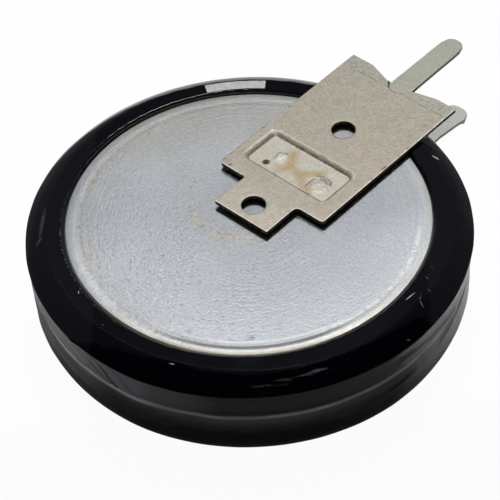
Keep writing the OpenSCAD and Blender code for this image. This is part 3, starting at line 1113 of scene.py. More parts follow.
def rounded_loop(corners: Sequence[tuple[float, float, float]], spacing: float) -> np.ndarray:
    """Rounds a polygon's corners and spaces points along it.

    Args:
        corners: X, Y and radius of each corner, in order.
        spacing: Largest distance between two points.

    Returns:
        The loop's points.
    """
    count = len(corners)
    points: list[np.ndarray] = []
    for i, (x, y, radius) in enumerate(corners):
        here = np.array([x, y])
        before, after = np.array(corners[i - 1][:2]), np.array(corners[(i + 1) % count][:2])
        u = (before - here) / np.linalg.norm(before - here)
        v = (after - here) / np.linalg.norm(after - here)
        half = math.acos(max(-1.0, min(1.0, float(u @ v)))) / 2.0
        cut = radius / math.tan(half)
        middle = here + (u + v) / np.linalg.norm(u + v) * radius / math.sin(half)
        start, end = here + u * cut - middle, here + v * cut - middle
        steps = max(3, int((math.pi - 2.0 * half) * radius / (spacing * 0.5)))
        sweep = math.atan2(start[0] * end[1] - start[1] * end[0], float(start @ end))
        base = math.atan2(start[1], start[0])
        for t in np.linspace(0.0, 1.0, steps + 1):
            angle = base + sweep * t
            points.append(middle + radius * np.array([math.cos(angle), math.sin(angle)]))
    spaced: list[np.ndarray] = []
    for here, after in zip(points, points[1:] + points[:1]):
        steps = max(1, math.ceil(float(np.linalg.norm(after - here)) / spacing))
        spaced.extend(here + (after - here) * s / steps for s in range(steps))
    return np.array(spaced)


def inset(loop: np.ndarray, depth: float) -> np.ndarray:
    """Moves a counter-clockwise loop inwards by a small depth.

    Args:
        loop: The loop's points.
        depth: How far it moves.

    Returns:
        The points of the smaller loop.
    """
    ahead, behind = np.roll(loop, -1, axis=0) - loop, loop - np.roll(loop, 1, axis=0)
    unit = [d / np.linalg.norm(d, axis=1, keepdims=True) for d in (ahead, behind)]
    normal = np.stack([-(unit[0] + unit[1])[:, 1], (unit[0] + unit[1])[:, 0]], axis=1)
    length = np.linalg.norm(normal, axis=1, keepdims=True)
    return loop + normal / length * depth / np.maximum(length / 2.0, 0.6)


def loop_distance(points: np.ndarray, loop: np.ndarray) -> np.ndarray:
    """Measures how deep points lie inside a loop.

    Args:
        points: The points.
        loop: The loop's corners.

    Returns:
        Distances to the loop, negative outside it.
    """
    ends = np.roll(loop, -1, axis=0)
    nearest = np.full(len(points), 1e9)
    crossings = np.zeros(len(points), int)
    for start, step, end in zip(loop, ends - loop, ends):
        offset = points - start
        t = np.clip(offset @ step / max(step @ step, 1e-18), 0.0, 1.0)
        nearest = np.minimum(nearest, np.hypot(*(offset - t[:, None] * step).T))
        spans = (start[1] > points[:, 1]) != (end[1] > points[:, 1])
        if abs(step[1]) > 1e-12:
            cut = start[0] + (points[:, 1] - start[1]) / step[1] * step[0]
            crossings += spans & (points[:, 0] < cut)
    return np.where(crossings % 2 == 1, nearest, -nearest)


# ---------------------------------------------------------------- sub-assemblies


@dataclass(frozen=True)
class Fold:
    """A straight fold in the film's wall, by the angles from the front and the heights of its ends."""

    start: Point2
    end: Point2
    half_width: float
    height: float

    def relief(self, front: np.ndarray, z: np.ndarray) -> np.ndarray:
        """Raises the fold.

        Args:
            front: Angles from the front in degrees.
            z: Heights in millimetres.

        Returns:
            How far the wall moves out.
        """
        per_degree = WALL_R * math.pi / 180.0
        foot = np.array([self.start[0] * per_degree, self.start[1]])
        run = np.array([self.end[0] * per_degree, self.end[1]]) - foot
        along, up = front * per_degree - foot[0], z - foot[1]
        t = np.clip((along * run[0] + up * run[1]) / (run @ run), 0.0, 1.0)
        away = np.hypot(along - t * run[0], up - t * run[1])
        return self.height * np.exp(-((away / self.half_width) ** 2))


@dataclass
class Sleeve:
    """The shrunk film: lapped over both rims, drawn in between the cells, creased and a little wavy."""

    finish: ShrinkFilm
    node: str = "sleeve"
    film: float = 0.15
    mouth: float = 8.95
    lip_r: float = 0.05
    shoulder: float = 1.05
    shoulder_drop: float = 0.82
    foot: float = 1.1
    waist_z: float = 2.92
    waist_depth: float = 0.25
    turns: int = 620
    inner_step: int = 6
    waist: tuple[Point2, ...] = (
        (0.0, 0.58), (0.03, 0.45), (0.13, 0.33), (0.36, 0.21), (0.68, 0.11), (0.9, 0.05), (1.0, 0.0),
        (0.99, -0.05), (0.89, -0.13), (0.71, -0.25), (0.49, -0.41), (0.29, -0.58), (0.13, -0.76),
        (0.03, -0.95), (0.0, -1.1),
    )
    folds: tuple[Fold, ...] = (
        Fold((-52.0, 4.35), (-39.5, 3.15), 0.16, 0.055),
        Fold((-42.5, 4.2), (-37.0, 3.1), 0.07, 0.05),
        Fold((-36.5, 4.1), (-32.5, 3.2), 0.09, 0.032),
        Fold((-66.0, 4.1), (-50.0, 3.3), 0.2, 0.05),
        Fold((-88.0, 3.9), (-70.0, 3.3), 0.22, 0.045),
        Fold((38.0, 3.75), (62.0, 3.25), 0.16, 0.045),
        Fold((55.0, 2.3), (82.0, 2.6), 0.16, 0.04),
        Fold((62.0, 4.1), (84.0, 3.5), 0.14, 0.035),
        Fold((20.0, 1.9), (44.0, 2.2), 0.12, 0.03),
        Fold((-84.0, 2.2), (-52.0, 1.9), 0.18, 0.05),
        Fold((-50.0, 1.9), (-22.0, 1.75), 0.16, 0.035),
        Fold((110.0, 3.9), (124.0, 3.2), 0.12, 0.04),
        Fold((150.0, 3.9), (146.0, 3.2), 0.1, 0.03),
        Fold((-128.0, 4.0), (-122.0, 3.2), 0.11, 0.04),
        Fold((-160.0, 2.2), (-138.0, 1.8), 0.14, 0.04),
        Fold((100.0, 1.9), (128.0, 2.2), 0.14, 0.04),
    )

    def outer_section(self) -> np.ndarray:
        """Lists the outside of the film from the upper mouth to the lower one.

        Returns:
            Its points as radius and height.
        """
        low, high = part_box(self.node)
        wide, top, base = high.x / MM, high.z / MM, low.z / MM
        mouth, lip, lap = self.mouth, self.lip_r, 0.01
        waist = [(wide - self.waist_depth * depth, self.waist_z + z) for depth, z in self.waist]
        return chained(
            straight((mouth + lap, top - self.film), (mouth, top - lip), 1),
            arc((mouth + lip, top - lip), lip, 180.0, 90.0, 4),
            straight((mouth + lip, top), (wide - self.shoulder, top), 12),
            self.shoulder_curve(wide, top),
            straight((wide, top - self.shoulder_drop), waist[0], 10),
            smooth(waist, 2),
            straight(waist[-1], (wide, base + self.foot), 4),
            arc((wide - self.foot, base + self.foot), self.foot, 0.0, -90.0, 10),
            straight((wide - self.foot, base), (mouth + lip, base), 4),
            arc((mouth + lip, base + lip), lip, 270.0, 180.0, 3),
            straight((mouth, base + lip), (mouth + lap, base + self.film), 1),
        )

    def shoulder_curve(self, wide: float, top: float) -> list[Point2]:
        """Lists the shoulder, whose bend tightens into a faint line where the wall starts.

        Args:
            wide: Radius of the wall.
            top: Height of the film's top.

        Returns:
            Its points as radius and height.
        """
        t = np.linspace(0.0, 1.0, 241)
        tilt = 24.0 + 27.0 * np.clip((t - 0.05) / 0.9, 0.0, 1.0) + 37.0 * ease(t, 0.95, 0.99)
        lean = np.radians(90.0 - tilt)
        middle = (lean[1:] + lean[:-1]) / 2.0
        r = np.concatenate([[0.0], np.cumsum(np.sin(middle))])
        z = np.concatenate([[0.0], np.cumsum(np.cos(middle))])
        r, z = r / r[-1] * self.shoulder, z / z[-1] * self.shoulder_drop
        picks = [*range(0, 216, 12), *range(216, 241, 2)]
        return [(wide - self.shoulder + r[i], top - z[i]) for i in picks]

    def crease_shift(self, front: np.ndarray) -> np.ndarray:
        """Gives how far the bend at the film's shoulder wanders outwards, by the angle from the front."""
        path = -0.02 * ease(np.abs(front + 48.0), 40.0, 5.0) + 0.17 * ease(front, -25.0, 25.0)
        return path * ease(front, 120.0, 70.0) + 0.018 * Ripple(5, 14, 70, 9)(np.radians(front))

    def relief(self, front: np.ndarray, radius: np.ndarray, z: np.ndarray) -> np.ndarray:
        """Gives how far the film stands out from its smooth shape.

        Args:
            front: Angles from the front in degrees.
            radius: Radii of the smooth shape.
            z: Heights of the smooth shape.

        Returns:
            Distances along the surface's normal, in millimetres.
        """
        turn = np.radians(front)
        wall = ease(z, 4.9, 4.2) * ease(z, 0.5, 1.2)
        upper, lower = ease(z, 3.1, 3.4) * wall, ease(z, 2.7, 2.2) * wall
        out = wall * 0.010 * Ripple(11, 4, 17, 7)(turn)
        out += upper * 0.007 * Ripple(12, 12, 48, 8)(turn + 0.08 * z)
        out += lower * 0.009 * Ripple(13, 9, 40, 8)(turn - 0.06 * z)
        out += self.on_top(z) * 0.002 * Ripple(14, 7, 30, 7)(turn + 0.15 * (radius - 9.0))
        out += swell(z, 2.9, 0.22) * 0.016 * Ripple(15, 6, 34, 8)(turn)
        for fold in self.folds:
            out += fold.relief(front, z)
        foot_line = 0.012 * swell(z, 1.15, 0.09) * wall
        return out + foot_line * (0.6 + 0.4 * Ripple(16, 3, 11, 5)(turn))

    def draw_in(self, front: np.ndarray, z: np.ndarray) -> np.ndarray:
        """Gives how far the wall is drawn in below the shoulder's edge, most of all at the sides.

        Args:
            front: Angles from the front in degrees.
            z: Heights of the smooth shape.

        Returns:
            Distances towards the axis.
        """
        sides = 0.02 + 0.1 * ease(np.abs(front), 25.0, 62.0)
        band = ease(z, 4.43, 4.05) * (1.0 - 0.75 * swell(z, self.waist_z, 0.5))
        return sides * band * ease(z, 0.3, 0.6)

    def outer_bend(self) -> float:
        """Returns the radius at which the flat top of the film bends down."""
        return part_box(self.node)[1].x / MM - self.shoulder + 0.02

    def on_top(self, z: np.ndarray) -> np.ndarray:
        """Is 1 on the flat top of the film and 0 on its wall."""
        return ease(z, 4.9, 5.2)

    def at_mouth(self, radius: np.ndarray) -> np.ndarray:
        """Is 1 at the film's mouths and fades out over its flat rings."""
        return ease(radius, self.mouth + 0.3, self.mouth + 0.02)

    def lip_shift(self, front: np.ndarray, turn: np.ndarray) -> np.ndarray:
        """Gives how far the upper lip wanders outwards."""
        return 0.016 * Ripple(21, 20, 90, 12)(turn) + 0.03 * np.cos(np.radians(front + 78.0))

    def build(self) -> bpy.types.Object:
        """Builds the film as one closed skin and dresses it.

        Returns:
            The piece.
        """
        outer = self.outer_section()
        step = np.gradient(outer, axis=0)
        normal = np.stack([-step[:, 1], step[:, 0]], axis=1)
        normal /= np.linalg.norm(normal, axis=1, keepdims=True)
        inner_normal = normal[3:-3]
        inner = (outer[3:-3] - inner_normal * (self.film - 0.002))[:: -self.inner_step]
        section = np.vstack([outer, inner])
        corners, faces = revolved(section, self.turns, True)
        normals = np.tile(np.vstack([normal, inner_normal[:: -self.inner_step]]), (self.turns, 1))
        outside = np.tile(np.arange(len(section)) < len(outer), self.turns)
        z, turn = corners[:, 2], np.arctan2(corners[:, 1], corners[:, 0])
        radius = np.hypot(corners[:, 0], corners[:, 1])
        front = from_front(turn)
        bend = self.outer_bend()
        crease = swell(radius, bend, 0.03) * self.on_top(z) * outside
        out = self.relief(front, radius, z) * outside
        reach = np.where(radius < bend, ease(radius, 9.05, bend), ease(radius, bend + 0.85, bend))
        radius = radius + self.crease_shift(front) * reach * ease(z, 4.3, 4.9)
        upper_mouth = self.at_mouth(radius) * ease(z, 4.9, 5.05)
        radius = radius + normals[:, 0] * out + self.lip_shift(front, turn) * upper_mouth
        lower_mouth = self.at_mouth(radius) * ease(z, 0.6, 0.45)
        radius = radius + 0.02 * Ripple(22, 14, 70, 12)(turn) * lower_mouth
        radius = radius - self.draw_in(front, z) * (radius > 10.0)
        shaped = np.stack([radius * np.cos(turn), radius * np.sin(turn), z + normals[:, 1] * out], axis=1)
        piece = new_piece("sleeve_film", shaped, faces, self.finish.material())
        piece.data.set_sharp_from_angle(angle=math.radians(15.0))
        # Masks for the painted glints along the crease and along the upper lip.
        paint(piece, "crease", crease * ease(np.abs(front + 30.0), 65.0, 35.0))
        lip = swell(radius, 9.0, 0.03) * (self.on_top(z) * outside)
        paint(piece, "lip", lip * ease(np.abs(front + 70.0), 36.0, 14.0))
        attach(piece, "root")
        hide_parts(self.node)
        LOG.info("%s: %d corners", piece.name, len(shaped))
        return piece


@dataclass
class Lid:
    """The pressed lid of the upper cell: flat face, ring groove, rolled edge, skirt and flange."""

    finish: SatinSteel
    node: str = "upper_lid"
    sheet: float = 0.25
    edge_r: float = 8.78
    groove_r: float = 8.18
    groove_half: float = 0.24
    groove_depth: float = 0.040
    crest_r: float = 8.42
    shelf_r: float = 8.7
    shelf_drop: float = 0.068
    roll: float = 0.24
    roll_start: float = 38.0
    turns: int = 480
    face_rings: tuple[float, ...] = (
        0.0, 0.4, 1.0, 1.8, 2.6, 3.4, 4.2, 5.0, 5.8, 6.5, 7.1, 7.5, 7.75, 7.88,
    )

    def rolled_edge(self, face: float) -> list[Point2]:
        """Lists the rolled edge, from the crest beside the groove down to the skirt.

        Args:
            face: Height of the lid's face.

        Returns:
            Its points as radius and height.
        """
        points = []
        for t in np.linspace(0.1, 1.0, 10):
            points.append((self.crest_r + (self.shelf_r - self.crest_r) * t, face - self.shelf_drop * t * t))
        width, drop = self.edge_r - self.shelf_r, self.roll - self.shelf_drop
        first = math.radians(self.roll_start)
        for a in np.radians(np.linspace(self.roll_start, 90.0, 8)):
            along = (math.sin(a) - math.sin(first)) / (1.0 - math.sin(first))
            down = 1.0 - math.cos(a) / math.cos(first)
            points.append((self.shelf_r + width * along, face - self.shelf_drop - drop * down))
        return points

    def section(self) -> np.ndarray:
        """Lists the lid's section from the middle of its face to the middle of its underside.

        Returns:
            Its points as radius and height.
        """
        low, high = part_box(self.node)
        face, flange_r, flange_low = high.z / MM, high.x / MM, low.z / MM
        flange_top = flange_low + self.sheet
        inner_r = self.edge_r - self.sheet
        under = face - self.sheet
        groove = []
        for t in np.linspace(-1.0, 1.0, 15):
            depth = self.groove_depth * (0.5 + 0.5 * math.cos(math.pi * t))
            groove.append((self.groove_r + t * self.groove_half, face - depth))
        return chained(
            [(r, face) for r in self.face_rings],
            groove,
            self.rolled_edge(face),
            straight((self.edge_r, face - self.roll), (self.edge_r, flange_top), 3),
            straight((self.edge_r, flange_top), (flange_r, flange_top), 3),
            straight((flange_r, flange_top), (flange_r, flange_low), 1),
            straight((flange_r, flange_low), (inner_r, flange_low), 3),
            straight((inner_r, flange_low), (inner_r, under), 2),
            straight((inner_r, under), (0.0, under), 4),
        )

    def press(self, corners: np.ndarray, radius: np.ndarray, front: np.ndarray, face: float) -> None:
        """Makes the groove shallower at the sides and the far side, and the edge a little wider there.

        Args:
            corners: The lid's corners, which are changed.
            radius: Their radii.
            front: Their angles from the front in degrees.
            face: Height of the lid's face.
        """
        pressed = 0.12 + 0.88 * ease(np.abs(front + 3.0), 38.0, 18.0)
        below = face - corners[:, 2]
        in_groove = (below < self.groove_depth + 0.001) & (radius < self.crest_r + 1e-4)
        corners[:, 2] = np.where(in_groove, face - below * pressed, corners[:, 2])
        on_shelf = (radius > self.crest_r) & (radius <= self.shelf_r + 1e-4)
        on_shelf &= below < self.shelf_drop + 0.001
        corners[:, 2] = np.where(on_shelf, face - below * (0.15 + 0.85 * pressed), corners[:, 2])
        sides = ease(np.abs(front), 45.0, 80.0) * ease(radius, 8.3, 8.7)
        spread = 1.0 + 0.06 / self.edge_r * sides
        corners[:, :2] *= np.where((radius > 8.3) & (below < 0.6), spread, 1.0)[:, None]

    def build(self) -> bpy.types.Object:
        """Builds the lid, with the faint unevenness of a pressed sheet, and dresses it.

        Returns:
            The piece.
        """
        corners, faces = revolved(self.section(), self.turns, False)
        turn = np.arctan2(corners[:, 1], corners[:, 0])
        radius = np.hypot(corners[:, 0], corners[:, 1])
        face = corners[:, 2].max()
        self.press(corners, radius, from_front(turn), face)
        top = ease(corners[:, 2], face - 0.24, face - 0.1) * ease(radius, 0.2, 2.0)
        dish = 0.004 * ease(radius, 7.9, 4.0)
        out = 0.0012 * Ripple(31, 3, 9, 5)(turn)
        out = out + 0.002 * Ripple(32, 8, 40, 7)(turn) * ease(radius, 7.8, 8.6)
        corners[:, 2] += top * (np.minimum(out, 0.003) - 0.003 - dish)
        piece = new_piece("upper_lid_shell", corners, faces, self.finish.material())
        piece.data.set_sharp_from_angle(angle=math.radians(50.0))
        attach(piece, "root")
        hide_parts(self.node)
        LOG.info("%s: %d corners", piece.name, len(corners))
        return piece


@dataclass(frozen=True)
class Press:
    """The pressed panel and the set-down seat of a terminal's pin, as distances on the sheet."""

    panel_mid: Point2 = (3.9, 0.18)
    panel_half: Point2 = (1.05, 2.43)
    panel_corner: float = 0.22
    panel_slope: float = 0.25
    seat_x: float = 11.72
    seat_r: float = 0.72

    def panel_distance(self, points: np.ndarray) -> np.ndarray:
        """Measures the distance of points outside the panel's floor.

        Args:
            points: Points of the sheet.

        Returns:
            Their distances, negative inside the floor.
        """
        half = np.array(self.panel_half) - self.panel_corner
        beyond = np.abs(points - self.panel_mid) - half
        outside = np.hypot(*np.maximum(beyond, 0.0).T)
        return outside + np.minimum(beyond.max(1), 0.0) - self.panel_corner

    def seat_distance(self, points: np.ndarray) -> np.ndarray:
        """Measures the distance of points outside the rounded seat of the pin, negative inside it."""
        x, y = points[:, 0] - self.seat_x, points[:, 1]
        return np.where(x < 0.0, np.hypot(x, y), np.abs(y)) - self.seat_r

    def rings(self) -> list[np.ndarray]:
        """Lists the loops of points that follow the panel's bends."""
        (mid_x, mid_y), (half_x, half_y) = self.panel_mid, self.panel_half
        loops = []
        for level in (-0.02, 0.0, 0.015, 0.05, 0.09, 0.13, 0.17, 0.2, 0.225, 0.25, 0.29, 0.34):
            reach_x, reach_y = half_x + level, half_y + level
            corner = max(0.02, self.panel_corner + level)
            box = [(-reach_x, -reach_y), (reach_x, -reach_y), (reach_x, reach_y), (-reach_x, reach_y)]
            loops.append(rounded_loop([(mid_x + x, mid_y + y, corner) for x, y in box], 0.05))
        return loops

    def seat_lines(self) -> list[np.ndarray]:
        """Lists the half circles of points that follow the seat's step."""
        turned = np.radians(np.linspace(90.0, 270.0, 61))
        unit = np.stack([np.cos(turned), np.sin(turned)], axis=1)
        levels = (-0.09, -0.06, -0.04, -0.02, 0.0, 0.02, 0.05, 0.1, 0.13, 0.155, 0.18, 0.22)
        return [unit * (self.seat_r + level) + [self.seat_x, 0.0] for level in levels]


def lattice(start: float, end: float, half: float, step: float) -> np.ndarray:
    """Lists points of a triangular lattice over a rectangle.

    Args:
        start: Its first x.
        end: Its last x.
        half: How far it reaches to both sides of the x axis.
        step: The distance between two points.

    Returns:
        The points.
    """
    rows = []
    for i, y in enumerate(np.arange(-half, half, step * 0.866)):
        xs = np.arange(start + (i % 2) * step / 2.0, end, step)
        rows.append(np.stack([xs, np.full_like(xs, y)], axis=1))
    return np.vstack(rows)


def spot(points: np.ndarray, x: float, y: float, reach_x: float, reach_y: float) -> np.ndarray:
    """Is 1 in the middle of an oval and falls to 0 at its rim."""
    return ease(np.hypot((points[:, 0] - x) / reach_x, (points[:, 1] - y) / reach_y), 1.0, 0.35)


def stroke(points: np.ndarray, path: Sequence[Point2], width: float) -> np.ndarray:
    """Draws a soft stroke along a path.

    Args:
        points: Where it is wanted.
        path: The path's corners.
        width: The stroke's width.

    Returns:
        1 on the path, falling to 0 at half the width away.
    """
    nearest = np.full(len(points), 1e9)
    for a, b in zip(np.array(path)[:-1], np.array(path)[1:]):
        run = b - a
        t = np.clip((points - a) @ run / (run @ run), 0.0, 1.0)
        nearest = np.minimum(nearest, np.hypot(*(points - a - t[:, None] * run).T))
    return ease(nearest, width / 2.0, 0.0)


@dataclass(frozen=True)
class Weld:
    """The two spot welds in a terminal's panel: their relief, heat tint, pale bare metal with painted sparkle
    and dark pits.
    """

    first: Point2 = (3.95, 1.32)
    second: Point2 = (3.5, -1.4)
    pit: Point2 = (3.24, 1.73)
    hook: tuple[Point2, ...] = ((4.04, -0.95), (4.13, -1.15), (4.15, -1.4), (4.08, -1.66), (3.9, -1.75))
    tear: tuple[Point2, ...] = ((3.2, -0.84), (3.57, -0.82), (3.84, -0.86))
    heat_paths: tuple[tuple[tuple[Point2, ...], float, float], ...] = (
        (((4.5, 1.02), (4.12, 0.82), (3.7, 0.52)), 0.95, 1.0),
        (((3.3, 0.85), (3.7, 0.5), (3.58, -0.05), (3.45, -0.4)), 0.9, 0.85),
        (((3.56, -0.1), (3.84, -0.34), (4.04, -0.62), (4.36, -0.98)), 0.75, 0.9),
        (((3.45, -0.3), (3.16, -0.67), (2.95, -1.1)), 0.85, 0.85),
    )

    def relief(self, points: np.ndarray) -> np.ndarray:
        """Gives the relief of the welds in the panel's floor.

        Args:
            points: Points of the sheet.

        Returns:
            How far the floor stands up there.
        """
        rng = np.random.default_rng(41)
        out = np.zeros(len(points))
        for _ in range(24):
            turn, reach = rng.uniform(0, 2 * math.pi), 0.33 * math.sqrt(rng.uniform(0, 1))
            x, y = self.first[0] + reach * math.cos(turn), self.first[1] + 0.9 * reach * math.sin(turn)
            out += rng.choice([-0.007, 0.006]) * spot(points, x, y, 0.1, 0.09)
        for _ in range(20):
            x, y = rng.uniform(3.15, 3.85), rng.uniform(-1.75, -1.05)
            out += rng.choice([-0.006, 0.004]) * spot(points, x, y, 0.09, 0.09)
        out *= 1.25
        out -= 0.1 * spot(points, *self.pit, 0.2, 0.19)
        out += 0.012 * stroke(points, [(3.3, 1.92), (3.42, 1.78), (3.4, 1.62)], 0.1)
        out -= 0.02 * stroke(points, self.tear, 0.08)
        out += 0.045 * stroke(points, self.hook, 0.16)
        out -= 0.02 * stroke(points, [(4.02, -1.1), (4.03, -1.34), (3.93, -1.56)], 0.06)
        out -= 0.03 * spot(points, 2.88, -1.31, 0.05, 0.08)
        return out

    def rough_spots(self, points: np.ndarray) -> np.ndarray:
        """Masks the two welded places."""
        return np.maximum(spot(points, *self.first, 0.45, 0.42), spot(points, *self.second, 0.55, 0.5))

    def sparkle(self, points: np.ndarray) -> np.ndarray:
        """Gives where the sheet is painted pale: bare metal on both welds, and a painted highlight at the
        panel's upper corner.
        """
        first = 0.9 * spot(points, 3.93, 1.34, 0.38, 0.34)
        pale = np.maximum(first, 0.35 * spot(points, *self.second, 0.5, 0.5))
        return np.maximum(pale, 1.4 * spot(points, 4.98, 2.7, 0.14, 0.3))

    def heat(self, points: np.ndarray) -> np.ndarray:
        """Gives the strength of the brown tint between the welds.

        Args:
            points: Points of the sheet.

        Returns:
            The strength, from 0 to 1.
        """
        heat = np.zeros(len(points))
        for path, width, strength in self.heat_paths:
            heat = np.maximum(heat, strength * stroke(points, path, width))
        return heat


@dataclass
class Terminal:
    """One sheet terminal: tab, plate with a pressed and welded panel, pilot holes and a set-down pin."""

    side: Side
    name: str
    node: str
    finish: NickelSheet
    shift: float = 0.0
    sheet: float = 0.2
    gap: float = 0.2
    drop: float = 0.15
    tab: Point2 = (-0.5, 1.65)
    shoulder_x: float = 1.65
    half_w: float = 3.3
    slip: float = 0.06
    tab_slip: float = 0.04
    end_x: float = 11.9
    pin_half: float = 0.6
    pin_end: float = 16.4
    web: float = 0.15
    holes: tuple[Point2, ...] = PILOT_HOLES
    hole_r: float = 0.6
    roll: float = 0.014
    tip_flare: float = 0.0
    press: Press = Press()
    weld: Weld = Weld()
    nicks: tuple[Mark, ...] = (
        (((3.22, 1.74), (3.27, 1.74)), 0.3),
        (((3.2, -0.84), (3.57, -0.82), (3.84, -0.86)), 0.09),
        (((4.1, -0.92), (4.2, -1.14), (4.22, -1.42), (4.15, -1.7), (3.92, -1.82)), 0.075),
        (((4.0, -1.08), (4.04, -1.36), (3.94, -1.58)), 0.08),
        (((2.82, -1.28), (2.9, -1.36)), 0.09),
        (((8.1, -3.14), (8.3, -3.16)), 0.07),
        (((7.4, -3.12), (7.52, -3.2)), 0.09),
        (((6.2, -3.15), (6.5, -3.17)), 0.07),
        (((5.3, -3.1), (5.42, -3.2)), 0.08),
        (((9.98, -2.78), (10.12, -2.92), (10.14, -3.02)), 0.05),
        (((1.77, 3.0), (1.85, 2.74)), 0.035),
        (((1.58, 1.9), (1.68, 1.84)), 0.12),
        (((-0.23, 0.5), (-0.13, 0.25)), 0.045),
        (((1.19, -1.43), (1.21, -1.6)), 0.035),
        (((1.75, -2.04), (1.79, -2.2)), 0.035),
        (((6.64, 2.64), (6.69, 2.67)), 0.09),
        (((1.94, 3.33), (1.98, 3.28)), 0.09),
        (((2.4, 3.34), (2.46, 3.28)), 0.09),
        (((4.85, 3.36), (4.9, 3.26)), 0.09),
        (((6.76, 3.36), (6.84, 3.3)), 0.08),
        (((4.96, 1.25), (5.0, 1.21)), 0.08),
        (((4.96, 1.62), (5.0, 1.58)), 0.05),
    )

    def half_outline(self, left: bool) -> list[tuple[float, float, float]]:
        """Lists one side's corners from the tab to the pin's tip.

        Args:
            left: Whether it is the side towards +Y.

        Returns:
            X, Y and rounding of each corner.
        """
        sign = 1.0 if left else -1.0
        corner, notch = (0.28, 0.1) if left else (0.17, 0.26)
        relief_x, foot_x = (0.46, 0.3) if left else (0.33, 0.2)
        bulge = self.tip_flare * (0.45 if left else 1.0)
        (tab_x, tab_y), pin, end = self.tab, self.pin_half, self.pin_end
        wide = self.slip + sign * self.half_w
        return [
            (tab_x, sign * tab_y + self.tab_slip, 0.04),
            (self.shoulder_x, sign * tab_y + self.tab_slip, notch),
            (self.shoulder_x, wide, corner),
            (self.end_x, wide, 0.03),
            (self.end_x, sign * 2.05, 0.3),
            (self.end_x - relief_x, sign * 0.75, 0.05),
            (self.end_x - foot_x, sign * (pin + 0.02), 0.09),
            (end - 2.6, sign * (pin - 0.4 * self.tip_flare), 1.2),
            (end - 1.25, sign * (pin + 0.3 * bulge), 1.0),
            (end - 0.72, sign * (pin + bulge - 0.02), 0.45),
            (end - 0.27, sign * (0.43 + 0.8 * bulge), 0.3),
            (end - 0.14, sign * (0.15 + 0.5 * bulge), 0.12 + bulge),
        ]

    def outline(self) -> np.ndarray:
        """Lists the flat sheet's outline, counter-clockwise, with the stamping tool's small slips."""
        return rounded_loop(self.half_outline(False) + self.half_outline(True)[::-1], 0.06)

    def upper_height(self, points: np.ndarray) -> np.ndarray:
        """Gives the height of the outer face over the cell's face.

        Args:
            points: Points of the sheet.

        Returns:
            Their heights.
        """
        wall = np.clip(self.press.panel_distance(points) / self.press.panel_slope, 0.0, 1.0)
        dish = 1.0 - 0.85 * wall - 0.15 * ease(wall, 0.0, 1.0)
        seat = ease(self.press.seat_distance(points), 0.02, -0.05)
        height = self.gap + self.sheet - self.gap * dish - self.drop * seat
        return height + self.weld.relief(points)

    def lower_height(self, points: np.ndarray) -> np.ndarray:
        """Gives the height of the inner face over the cell's face.

        Args:
            points: Points of the sheet.

        Returns:
            Their heights.
        """
        wall = np.clip((self.press.panel_distance(points) - 0.06) / self.press.panel_slope, 0.0, 1.0)
        dish = (1.0 - wall) ** 1.7 * 0.7 + (1.0 - wall) * 0.3 * ease(wall, 1.0, 0.7)
        seat = ease(self.press.seat_distance(points) - self.web, 0.02, -0.05)
        return self.gap - self.gap * dish - self.drop * seat + 0.001

    def fill_points(self, outer: np.ndarray, holes: Sequence[np.ndarray]) -> np.ndarray:
        """Lists the inner points of the sheet, close together where it is shaped.

        Args:
            outer: The loop that bounds the points.
            holes: The loops round the holes.

        Returns:
            The points.
        """
        rng = np.random.default_rng(7)
        coarse = lattice(self.tab[0], self.pin_end, self.half_w, 0.15)
        coarse += rng.uniform(-0.01, 0.01, coarse.shape)
        off_seat = np.abs(self.press.seat_distance(coarse) - 0.07) > 0.2
        coarse = coarse[(self.press.panel_distance(coarse) > 0.4) & off_seat]
        middle = self.press.panel_mid[0]
        fine = lattice(middle - 1.1, middle + 1.1, 2.7, 0.05)
        fine = fine[self.press.panel_distance(fine) < -0.05]
        kept = np.vstack([coarse, fine, *self.press.rings(), *self.press.seat_lines()])
        clear = loop_distance(kept, outer) > 0.09
        for hole in holes:
            clear &= loop_distance(kept, hole) < -0.03
        return np.vstack([kept[clear], inset(outer, 0.03), inset(outer, 0.06)])

    def triangulate(self, rings: list[np.ndarray]) -> tuple[np.ndarray, np.ndarray]:
        """Fills the sheet between its outline and its holes.

        Args:
            rings: The outline and the loops round the holes.

        Returns:
            The flat points, those of the rings first, and the triangles.
        """
        inner = self.fill_points(rings[0], [ring[::-1] for ring in rings[1:]])
        constraints, start = [], 0
        for ring in rings:
            count = len(ring)
            constraints += [(start + i, start + (i + 1) % count) for i in range(count)]
            start += count
        seeds = [Vector(p) for p in np.vstack([*rings, inner])]
        found = delaunay_2d_cdt(seeds, constraints, [], 0, 1e-7)
        flat = np.array([tuple(p) for p in found[0]])
        triangles = np.array(found[2])
        middles = flat[triangles].mean(1)
        keep = loop_distance(middles, rings[0]) > 0.0
        for ring in rings[1:]:
            keep &= loop_distance(middles, ring) < 0.0
        return flat, triangles[keep]

    def edge_levels(self, edge: np.ndarray, ring: np.ndarray) -> list[tuple[np.ndarray, Any, float]]:
        """Lists the loops down a cut edge, rounded at its top.

        Args:
            edge: The cut edge.
            ring: The loop just inside it.

        Returns:
            Shape, heights and share of the cut edge of each loop.
        """
        top, base = self.upper_height(ring), self.lower_height(ring)
        part_way = inset(edge, self.roll * 0.3)
        return [
            (part_way, top - self.roll * 0.3, 0.85),
            (edge, top - self.roll, 1.0),
            (edge, base + 0.02, 1.0),
            (part_way, base + 0.002, 0.8),
        ]

